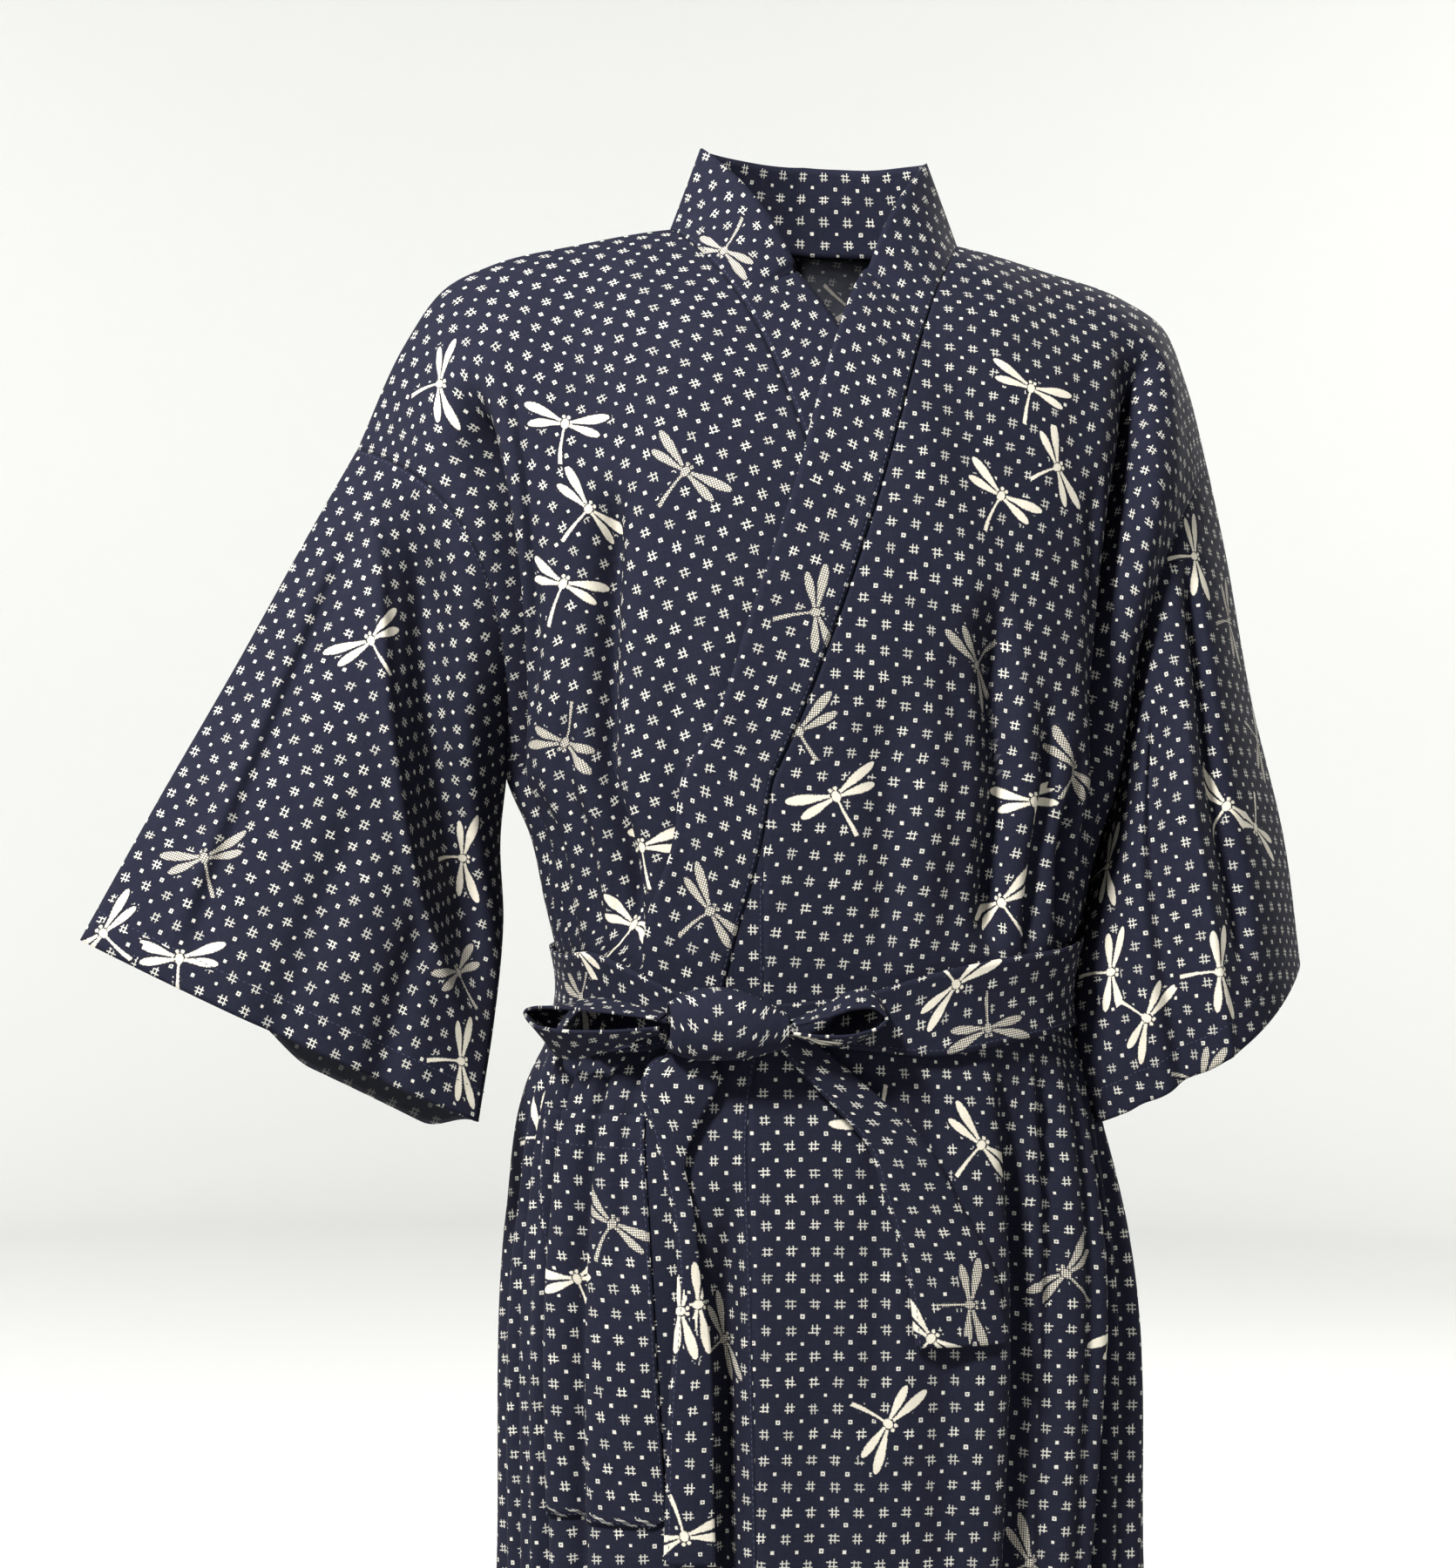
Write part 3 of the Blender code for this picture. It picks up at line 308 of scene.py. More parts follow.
    def section(self, c: Place, z: Place) -> np.ndarray:
        """Point of the rounded body section.

        Args:
            c: place round the body.
            z: height of the section.

        Returns:
            The point's x, y and z.
        """
        right, left, front, back = np.moveaxis(along(self.sections, z), -1, 0)
        turn = np.asarray(c, float) * math.pi / 2
        x = (np.sin(turn) + self.square * np.sin(3 * turn)) / (1 - self.square)
        y = -(np.cos(turn) - self.square * np.cos(3 * turn)) / (1 - self.square)
        return np.stack([x * np.where(x < 0, right, left), y * np.where(y < 0, front, back), z + 0 * x], -1)

    def smooth(self, c: Place, v: Place) -> np.ndarray:
        """Point of the worn form without folds.

        Args:
            c: place round the body.
            v: place down it.

        Returns:
            The point's x, y and z.
        """
        c, v = np.broadcast_arrays(np.asarray(c, float), np.asarray(v, float))
        low = self.section(c, np.where(v > 1, z_of(v), UNDERARM_Z))
        q = np.clip(v, 0, 1)
        share = side_share(c)
        ridge = along(self.ridge, share)
        at_back = ease(0.98, 1.02, np.abs(c)) * ease(1.0, 0.5, share)
        ridge_x = np.where(c < 0, -ridge[..., 0], ridge[..., 1])
        ridge_z = np.where(c < 0, ridge[..., 3], ridge[..., 4])
        even = self.even_drop * (1 - at_back)
        drop = even * q + (1 - even) * q**2
        front = np.where(np.abs(c) < 1, -1.0, 1.0)
        bulge = self.arm_swell * armhole_swell(q) * ease(0.45, 1.0, share)
        forward = 1 - (1 - q) ** self.shoulder_curve
        x = ridge_x + (low[..., 0] - ridge_x) * (1 - (1 - q) ** 2)
        y = ridge[..., 2] + (low[..., 1] - ridge[..., 2]) * forward + front * bulge
        z = ridge_z + (UNDERARM_Z - ridge_z) * drop
        return np.where((v > 1)[..., None], low, np.stack([x, y, z], -1))

    def off(self, c: Place, v: Place, out: Place) -> np.ndarray:
        """Point off the form without folds.

        Args:
            c: place round the body.
            v: place down it.
            out: distance by which the point is moved out.

        Returns:
            The point's x, y and z.
        """
        c, v, out = np.broadcast_arrays(*(np.asarray(x, float) for x in (c, v, out)))
        across = self.smooth(c + self.step, v) - self.smooth(c - self.step, v)
        down = self.smooth(c, v + self.step) - self.smooth(c, np.maximum(v - self.step, 0))
        return self.smooth(c, v) + unit(np.cross(down, across)) * out[..., None]

    def trough(self, c: np.ndarray, v: np.ndarray, fold: tuple[float, ...]) -> np.ndarray:
        """Depth of one fold.

        Args:
            c: place round the body.
            v: place down it.
            fold: the fold's row of the table.

        Returns:
            The depth at each place.
        """
        top_c, top_v, mid_c, mid_v, end_c, end_v, right, left, deep = fold
        middle = along(((top_v, top_c), (mid_v, mid_c), (end_v, end_c)), v)[..., 0]
        off = c - middle
        across = np.exp(-((off / np.where(off < 0, right, left)) ** 2))
        start = ease(top_v - 0.01, top_v + 0.3 * (mid_v - top_v) + 0.03, v)
        stop = ease(end_v + 0.01, end_v - 0.25 * (end_v - mid_v) - 0.02, v)
        return deep * across * start * stop

    def depth(self, c: np.ndarray, v: np.ndarray) -> np.ndarray:
        """How far the folds push the cloth inwards.

        Args:
            c: place round the body.
            v: place down it.

        Returns:
            The distance at each place.
        """
        flat = 0 * c * v
        large, small = (
            np.maximum.reduce([flat, *(self.trough(c, v, fold) for fold in folds)])
            for folds in (self.folds, self.fine_folds)
        )
        long_wave = np.sin(23 * c + 4 * v) * np.sin(9 * v + 5 * c + 1)
        short_wave = np.sin(41 * c - 7 * v + 2) * np.sin(17 * v + 3 * c)
        ripple = self.ripple * (1 + long_wave + 0.6 * short_wave)
        sewn_to_sleeve = 1 - (1 - ease(1.0, 1.06, v)) * ease(0.93, 1.0, side_share(c))
        squeeze = 1 - self.belt_squeeze * np.exp(-(((z_of(v) - self.belt_middle) / self.belt_reach) ** 4))
        under_ridge = ease(0.02, 0.16, v)
        return (large + small * self.fine_depth + ripple) * sewn_to_sleeve * squeeze * under_ridge

    def lift(self, c: np.ndarray, v: np.ndarray) -> np.ndarray:
        """How far the left front is lifted to pass over the right front, whose free edge lies under it.

        Args:
            c: place round the body.
            v: place down it.

        Returns:
            The distance at each place.
        """
        rows = [(row[2], row[3]) for row in COLLAR_FRONT] + [(row[0], row[2]) for row in OKUMI[3:]]
        edge = -along(tuple(rows), v)[..., 0]
        return self.overlap_lift * (1 - ease(0.03, 0.17, c - edge))

    def cloth(self, c: Place, v: Place, side: Side, out: Place = 0.0) -> np.ndarray:
        """Point of the middle of the folded cloth.

        Args:
            c: place round the body.
            v: place down it.
            side: which half of the robe the cloth belongs to.
            out: distance by which the point is moved out.

        Returns:
            The point's x, y and z.
        """
        c, v = np.broadcast_arrays(np.asarray(c, float), np.asarray(v, float))
        lift = self.lift(c, v) if side is Side.LEFT else 0 * c
        return self.off(c, v, lift + out - self.depth(c, v))

    def normals(self, c: np.ndarray, v: np.ndarray, side: Side) -> np.ndarray:
        """Outward directions of the folded cloth.

        Args:
            c: place round the body.
            v: place down it.
            side: which half of the robe the cloth belongs to.

        Returns:
            A direction of length 1 at each place.
        """
        across = self.cloth(c + SLOPE_C, v, side) - self.cloth(c - SLOPE_C, v, side)
        down = self.cloth(c, v + SLOPE_V, side) - self.cloth(c, np.maximum(v - SLOPE_V, 0), side)
        return unit(np.cross(down, across))


# seam v, seam c, edge v, edge c of the collar on the left front
COLLAR_FRONT: Rows = (
    (0.300, 0.165, 0.215, 0.060),
    (0.430, 0.122, 0.360, 0.005),
    (0.570, 0.076, 0.510, -0.050),
    (0.700, 0.028, 0.655, -0.098),
    (0.847, -0.040, 0.815, -0.172),
    (0.973, -0.115, 0.950, -0.245),
    (1.057, -0.185, 1.040, -0.345),
    (1.123, -0.262, 1.107, -0.455),
    (1.200, -0.310, 1.195, -0.390),
)
# v, c of the okumi seam, c of the free front edge below the collar
OKUMI: Rows = (
    (1.030, -0.160, -0.300),
    (1.100, -0.172, -0.305),
    (1.177, -0.180, -0.308),
    (1.300, -0.162, -0.290),
    (1.450, -0.150, -0.268),
    (1.700, -0.146, -0.258),
    (2.000, -0.142, -0.250),
)
# seam v, seam c, x, y, z from the seam to the free edge where the collar leaves the chest
COLLAR_NECK: Rows = (
    (0.000, 0.262, -0.020, 0.002, 0.053),
    (0.060, 0.245, -0.028, 0.000, 0.044),
    (0.170, 0.210, -0.035, 0.006, 0.034),
    (0.300, 0.165, -0.036, 0.016, 0.025),
)
# turn of the back neck from shoulder to nape, x, y, z from the seam to the free edge
COLLAR_NAPE: Rows = (
    (0.000, -0.020, 0.002, 0.053),
    (0.500, -0.012, -0.006, 0.056),
    (1.000, 0.000, -0.010, 0.057),
)
FORM = WornForm()


def seam_c(v: Place) -> np.ndarray:
    """c of the collar seam on the left front."""
    rows = [row[:2] for row in COLLAR_NECK[:-1]] + [row[:2] for row in COLLAR_FRONT]
    return along(tuple(rows), v)[..., 0]


def front_c(v: Place) -> np.ndarray:
    """c of the inner edge of the left body front: the collar seam, then the okumi seam."""
    return np.where(np.asarray(v) < OKUMI_TOP, seam_c(v), along(OKUMI, v)[..., 0])


def back_c(v: Place) -> np.ndarray:
    """c of the inner edge of the left body back: the neck, then the centre back."""
    return 2 - NECK_C * np.sqrt(np.clip(1 - (np.asarray(v) / NECK_DIP) ** 2, 0, 1))


def soften(values: np.ndarray, reach: int) -> np.ndarray:
    """Running mean down the rows, so that a pattern doesn't jump from row to row."""
    padded = np.concatenate([values[:1].repeat(reach, 0), values, values[-1:].repeat(reach, 0)])
    return sum(padded[k : k + len(values)] for k in range(2 * reach + 1)) / (2 * reach + 1)


def arc(points: np.ndarray, axis: int) -> np.ndarray:
    """Length run along one axis of a grid of points.

    Args:
        points: rows by columns of places.
        axis: 0 to run down the columns, 1 to run along the rows.

    Returns:
        The length at each point, from 0.
    """
    steps = np.linalg.norm(np.diff(points, axis=axis), axis=-1)
    pad = [(0, 0), (0, 0)]
    pad[axis] = (1, 0)
    return np.cumsum(np.pad(steps, pad), axis=axis)


@dataclass(frozen=True)
class Flattener:
    """Lays a folded grid flat with little stretch, so that a print on it keeps its size.

    The grid is thinned. Every triangle of the thinned grid is turned to fit the flat one, then all are
    joined again, some rounds over. Attributes: rows and columns of the thinned grid, rounds, and how
    strongly the first guess is kept.
    """

    rows: int = 60
    columns: int = 22
    rounds: int = 60
    keep: float = 1e-4

    def triangles(self, corners: np.ndarray, rows: np.ndarray, columns: np.ndarray) -> np.ndarray:
        """Corners at the right angles and lengths of the triangles at one corner of every square.

        Args:
            corners: for each square the corner, the next along the row and the next along the column.
            rows: lengths of the sides along the rows.
            columns: lengths of the sides along the columns.

        Returns:
            Triangles by corners by two.
        """
        first, second = unit(corners[:, 1] - corners[:, 0]), unit(corners[:, 2] - corners[:, 0])
        cos = np.clip((first * second).sum(-1), -0.98, 0.98)
        zero = 0 * cos
        along_row = np.stack([rows, zero], -1)
        along_column = np.stack([columns * cos, columns * np.sqrt(1 - cos * cos)], -1)
        return np.stack([0 * along_row, along_row, along_column], 1)

    def flat(self, points: np.ndarray, weave: np.ndarray) -> np.ndarray:
        """Metres across and down the flat cloth.

        Args:
            points: rows by columns of places.
            weave: a first guess, with the turn that is wanted.

        Returns:
            The two numbers for each point.
        """
        r = np.unique(np.linspace(0, len(points) - 1, self.rows).astype(int))
        c = np.unique(np.linspace(0, points.shape[1] - 1, self.columns).astype(int))
        run_row, run_column = arc(points, 1), arc(points, 0)
        coarse, guess = points[np.ix_(r, c)], weave[np.ix_(r, c)]
        number = np.arange(len(r) * len(c)).reshape(len(r), len(c))
        sides_row = np.diff(run_row[np.ix_(r, c)], axis=1)
        sides_column = np.diff(run_column[np.ix_(r, c)], axis=0)
        near = np.stack([number[:-1, :-1], number[:-1, 1:], number[1:, :-1]], -1).reshape(-1, 3)
        far = np.stack([number[1:, 1:], number[1:, :-1], number[:-1, 1:]], -1).reshape(-1, 3)
        place = coarse.reshape(-1, 3)
        shape = np.concatenate([
            self.triangles(place[near], sides_row[:-1].ravel(), sides_column[:, :-1].ravel()),
            self.triangles(place[far], sides_row[1:].ravel(), sides_column[:, 1:].ravel()),
        ])
        corners = np.concatenate([near, far])
        start = guess.reshape(-1, 2)
        edge = start[near[:, 1]] - start[near[:, 0]]
        other = start[near[:, 2]] - start[near[:, 0]]
        if (edge[:, 0] * other[:, 1] - edge[:, 1] * other[:, 0]).sum() < 0:
            shape[..., 1] *= -1
        tie = np.zeros((len(start), len(start)))
        turned = np.roll(corners, -1, 1)
        for one, two in ((corners, corners), (turned, turned)):
            np.add.at(tie, (one, two), 1.0)
        for one, two in ((corners, turned), (turned, corners)):
            np.add.at(tie, (one, two), -1.0)
        solve = np.linalg.inv(tie + self.keep * np.eye(len(start)))
        sides = shape - np.roll(shape, -1, 1)
        flat = start
        for _ in range(self.rounds):
            now = flat[corners] - flat[turned]
            cos = (now * sides).sum((1, 2))
            sin = (now[..., 1] * sides[..., 0] - now[..., 0] * sides[..., 1]).sum(1)
            size = np.hypot(cos, sin)
            fit = rotate(sides, (cos / size)[:, None], (sin / size)[:, None])
            pull = self.keep * start
            np.add.at(pull, corners, fit)
            np.add.at(pull, turned, -fit)
            flat = solve @ pull
        columns = flat.reshape(guess.shape).swapaxes(0, 1)
        lines = spread(run_column[:, c].T, run_column[np.ix_(r, c)].T, columns).swapaxes(0, 1)
        return spread(run_row, run_row[:, c], lines)


def put_in_scene(name: str, data: bpy.types.ID) -> bpy.types.Object:
    """Puts a new object in the scene.

    Args:
        name: name of the object.
        data: the mesh, light or camera that it holds.

    Returns:
        The object.
    """
    thing = bpy.data.objects.new(name, data)
    bpy.context.scene.collection.objects.link(thing)
    return thing


class Cloth:
    """A sheet of cloth as a grid in the middle of its wall.

    A closed sheet is a tube: its last column joins its first, and its weave has one column more.
    """

    def __init__(
        self, points: np.ndarray, weave: np.ndarray, normals: np.ndarray | None = None, closed: bool = False
    ) -> None:
        """Takes the grid.

        Args:
            points: rows by columns of places.
            weave: metres across and down the cloth at each.
            normals: directions out of the cloth, or None to find them from the grid.
            closed: whether the sheet is a tube.
        """
        self.points = points
        self.weave = weave
        self.closed = closed
        self.normals = self.find_normals() if normals is None else normals

    def find_normals(self) -> np.ndarray:
        """Finds the directions at right angles to the rows and columns of the grid.

        Returns:
            A direction of length 1 at each point.
        """
        across = np.gradient(self.points, axis=1)
        if self.closed:
            ring = np.concatenate([self.points[:, -1:], self.points, self.points[:, :1]], 1)
            across = np.gradient(ring, axis=1)[:, 1:-1]
        return unit(np.cross(across, np.gradient(self.points, axis=0)))

    def turned_out(self, centre: np.ndarray) -> "Cloth":
        """Points the normals away from a centre.

        Args:
            centre: the centre, given for each row or once.

        Returns:
            This sheet.
        """
        if np.einsum("ijk,ijk->", self.normals, self.points - centre) < 0:
            self.normals = -self.normals
        return self

    def area(self) -> float:
        """Measures the sheet.

        Returns:
            Its area in square metres.
        """
        grid = self.points
        if self.closed:
            grid = np.concatenate([grid, grid[:, :1]], 1)
        first = grid[1:, 1:] - grid[:-1, :-1]
        second = grid[1:, :-1] - grid[:-1, 1:]
        return float(np.linalg.norm(np.cross(first, second), axis=-1).sum() / 2)

    def shell(
        self, name: str, wall: float, motifs: list[Motif], finish: bpy.types.Material, wrong_side: float
    ) -> bpy.types.Object:
        """Makes the thin wall round the grid, with its weave and its figures.

        Args:
            name: name of the object.
            wall: thickness of the cloth.
            motifs: figures of its print.
            finish: its material.
            wrong_side: 1 where the inside shows the pale back of the print, 0 where the cloth is double.

        Returns:
            The object.
        """
        rows, columns = self.points.shape[:2]
        count = rows * columns
        index = np.arange(count).reshape(rows, columns)
        if self.closed:
            index = np.concatenate([index, index[:, :1]], 1)
        mark = np.arange(rows * index.shape[1]).reshape(index.shape)
        outer = (self.points + self.normals * wall / 2).reshape(-1, 3)
        inner = (self.points - self.normals * wall / 2).reshape(-1, 3)

        def quads(grid: np.ndarray) -> np.ndarray:
            """The four corners of every square of an index grid."""
            return np.stack([grid[:-1, :-1], grid[1:, :-1], grid[1:, 1:], grid[:-1, 1:]], -1).reshape(-1, 4)

        def rims(grid: np.ndarray, away: int) -> np.ndarray:
            """The squares that close the wall along its free edges."""
            lines = [grid[0], grid[-1, ::-1]] + ([] if self.closed else [grid[::-1, 0], grid[:, -1]])
            return np.concatenate([np.stack([a[:-1], a[1:], a[1:] + away, a[:-1] + away], -1) for a in lines])

        faces = np.concatenate([quads(index), quads(index)[:, ::-1] + count, rims(index, count)])
        marks = np.concatenate([quads(mark), quads(mark)[:, ::-1], rims(mark, 0)])
        corner = outer[quads(index)]
        way = np.cross(corner[:, 2] - corner[:, 0], corner[:, 3] - corner[:, 1])
        if np.einsum("ij,ij->", way, self.normals.reshape(-1, 3)[quads(index)[:, 0]]) < 0:
            faces, marks = faces[:, ::-1], marks[:, ::-1]
        mesh = bpy.data.meshes.new(name)
        mesh.vertices.add(2 * count)
        mesh.vertices.foreach_set("co", np.concatenate([outer, inner]).ravel())
        mesh.loops.add(faces.size)
        mesh.loops.foreach_set("vertex_index", faces.ravel().astype(np.int32))
        mesh.polygons.add(len(faces))
        mesh.polygons.foreach_set("loop_start", np.arange(0, faces.size, 4, dtype=np.int32))
        mesh.update(calc_edges=True)
        weave = self.weave.reshape(-1, 2)[marks]
        mesh.uv_layers.new(name="weave").data.foreach_set("uv", weave.ravel())
        figure = mesh.attributes.new("figure", "FLOAT_VECTOR", "CORNER")
        figure.data.foreach_set("vector", self.beside_figures(weave, motifs).ravel())
        inside = np.zeros(len(faces), dtype=np.float32)
        inside[len(quads(index)) : 2 * len(quads(index))] = wrong_side
        mesh.attributes.new("wrong_side", "FLOAT", "FACE").data.foreach_set("value", inside)
        mesh.shade_smooth()
        mesh.materials.append(finish)
        return put_in_scene(name, mesh)

    def beside_figures(self, weave: np.ndarray, motifs: list[Motif]) -> np.ndarray:
        """Place of each face corner beside the nearest figure.

        Args:
            weave: faces by corners of metres across and down the cloth.
            motifs: the figures.

        Returns:
            Millimetres to the right of the figure and towards its head, and its filling.
        """
        place = np.full(weave.shape[:2] + (3,), FAR_MM)
        middle = weave.mean(1)
        nearest = np.full(len(middle), FIGURE_REACH)
        for across, down, turn, filling in motifs:
            away = np.linalg.norm(middle - (across, down), axis=1)
            mine = away < nearest
            nearest[mine] = away[mine]
            angle = math.radians(turn)
            beside = (weave[mine] - (across, down)) * (MM, -MM)
            place[mine, :, :2] = rotate(beside, math.cos(angle), math.sin(angle))
            place[mine, :, 2] = filling.value
        return place


class Nodes:
    """A node tree that is built by adding nodes together with what feeds their inputs."""

    def __init__(self, tree: bpy.types.NodeTree) -> None:
        """Takes the tree."""
        self.tree = tree

    def add(self, kind: str, feeds: Feeds | None = None) -> bpy.types.Node:
        """Adds a node.

        Args:
            kind: Blender's name for this kind of node.
            feeds: what feeds its inputs, if anything.

        Returns:
            The node.
        """
        node = self.tree.nodes.new(kind)
        self.feed(node, feeds or {})
        return node

    def feed(self, node: bpy.types.Node, feeds: Feeds) -> None:
        """Sets inputs to a value, or joins an output or a wire to them.

        Args:
            node: the node that is fed.
            feeds: a value, output or wire for each input, given by its name or number.
        """
        for key, value in feeds.items():
            source = value.socket if isinstance(value, Wire) else value
            if isinstance(source, bpy.types.NodeSocket):
                self.tree.links.new(source, node.inputs[key])
            else:
                node.inputs[key].default_value = source

    def shade(self, feeds: Feeds) -> None:
        """Feeds the shader of a material."""
        self.feed(self.tree.nodes["Principled BSDF"], feeds)

    def attribute(self, name: str) -> bpy.types.Node:
        """Adds a node that reads an attribute of the mesh.

        Args:
            name: name of the attribute.

        Returns:
            The node.
        """
        node = self.add("ShaderNodeAttribute")
        node.attribute_name = name
        return node

    def bump(self, height: "Wire | bpy.types.NodeSocket", strength: float, depth: float) -> bpy.types.Node:
        """A bump node for a height from 0 to 1 that stands for a depth in metres."""
        return self.add("ShaderNodeBump", {"Strength": strength, "Distance": depth, "Height": height})

    def mix(
        self, share: "Wire | bpy.types.NodeSocket", low: Colour | bpy.types.NodeSocket, high: Colour
    ) -> bpy.types.NodeSocket:
        """Colour between two, by a share.

        Args:
            share: how much of the second colour.
            low: the first colour, or the output that gives it.
            high: the second colour.

        Returns:
            The output that gives the mixed colour.
        """
        node = self.add("ShaderNodeMix")
        node.data_type = "RGBA"
        first = (*low, 1.0) if isinstance(low, tuple) else low
        self.feed(node, {0: share, 6: first, 7: (*high, 1.0)})
        return node.outputs[2]


def new_material(name: str) -> tuple[bpy.types.Material, Nodes]:
    """Makes an empty material.

    Args:
        name: name of the material.

    Returns:
        The material and its nodes.
    """
    material = bpy.data.materials.new(name)
    material.use_nodes = True
    return material, Nodes(material.node_tree)


class Wire:
    """A number running through a material's nodes, so that a pattern reads as arithmetic."""

    def __init__(self, nodes: Nodes, socket: bpy.types.NodeSocket) -> None:
        """Takes the nodes and the output that gives the number."""
        self.nodes = nodes
        self.socket = socket

    def math(self, operation: str, *others: "Wire | float") -> "Wire":
        """Adds a math node whose first input is this number.

        Args:
            operation: Blender's name for the sum it does.
            others: the numbers for its other inputs.

        Returns:
            The result.
        """
        node = self.nodes.add("ShaderNodeMath")
        node.operation = operation
        self.nodes.feed(node, dict(enumerate((self, *others))))
        return Wire(self.nodes, node.outputs[0])

    def __add__(self, other: "Wire | float") -> "Wire":
        """Sum."""
        return self.math("ADD", other)

    def __sub__(self, other: "Wire | float") -> "Wire":
        """Difference."""
        return self.math("SUBTRACT", other)

    def __mul__(self, other: "Wire | float") -> "Wire":
        """Product."""
        return self.math("MULTIPLY", other)

    def __truediv__(self, other: "Wire | float") -> "Wire":
        """Quotient."""
        return self.math("DIVIDE", other)

    def size(self) -> "Wire":
        """The number without its sign."""
        return self.math("ABSOLUTE")

    def least(self, other: "Wire | float") -> "Wire":
        """The smaller of two numbers."""
        return self.math("MINIMUM", other)

    def most(self, other: "Wire | float") -> "Wire":
        """The larger of two numbers."""
        return self.math("MAXIMUM", other)

    def span(self, low: float, high: float, to_low: float = 0.0, to_high: float = 1.0) -> "Wire":
        """Soft step of this number between two limits.

        Args:
            low: the first limit.
            high: the second limit.
            to_low: the result up to the first limit.
            to_high: the result past the second limit.

        Returns:
            The result.
        """
        limits = {"From Min": low, "From Max": high, "To Min": to_low, "To Max": to_high}
        node = self.nodes.add("ShaderNodeMapRange", {"Value": self, **limits})
        node.interpolation_type = "SMOOTHSTEP"
        return Wire(self.nodes, node.outputs["Result"])

    def inside(self, blur: float) -> "Wire":
        """1 where this distance is below 0, with a soft edge."""
        return self.span(-blur, blur, 1.0, 0.0)


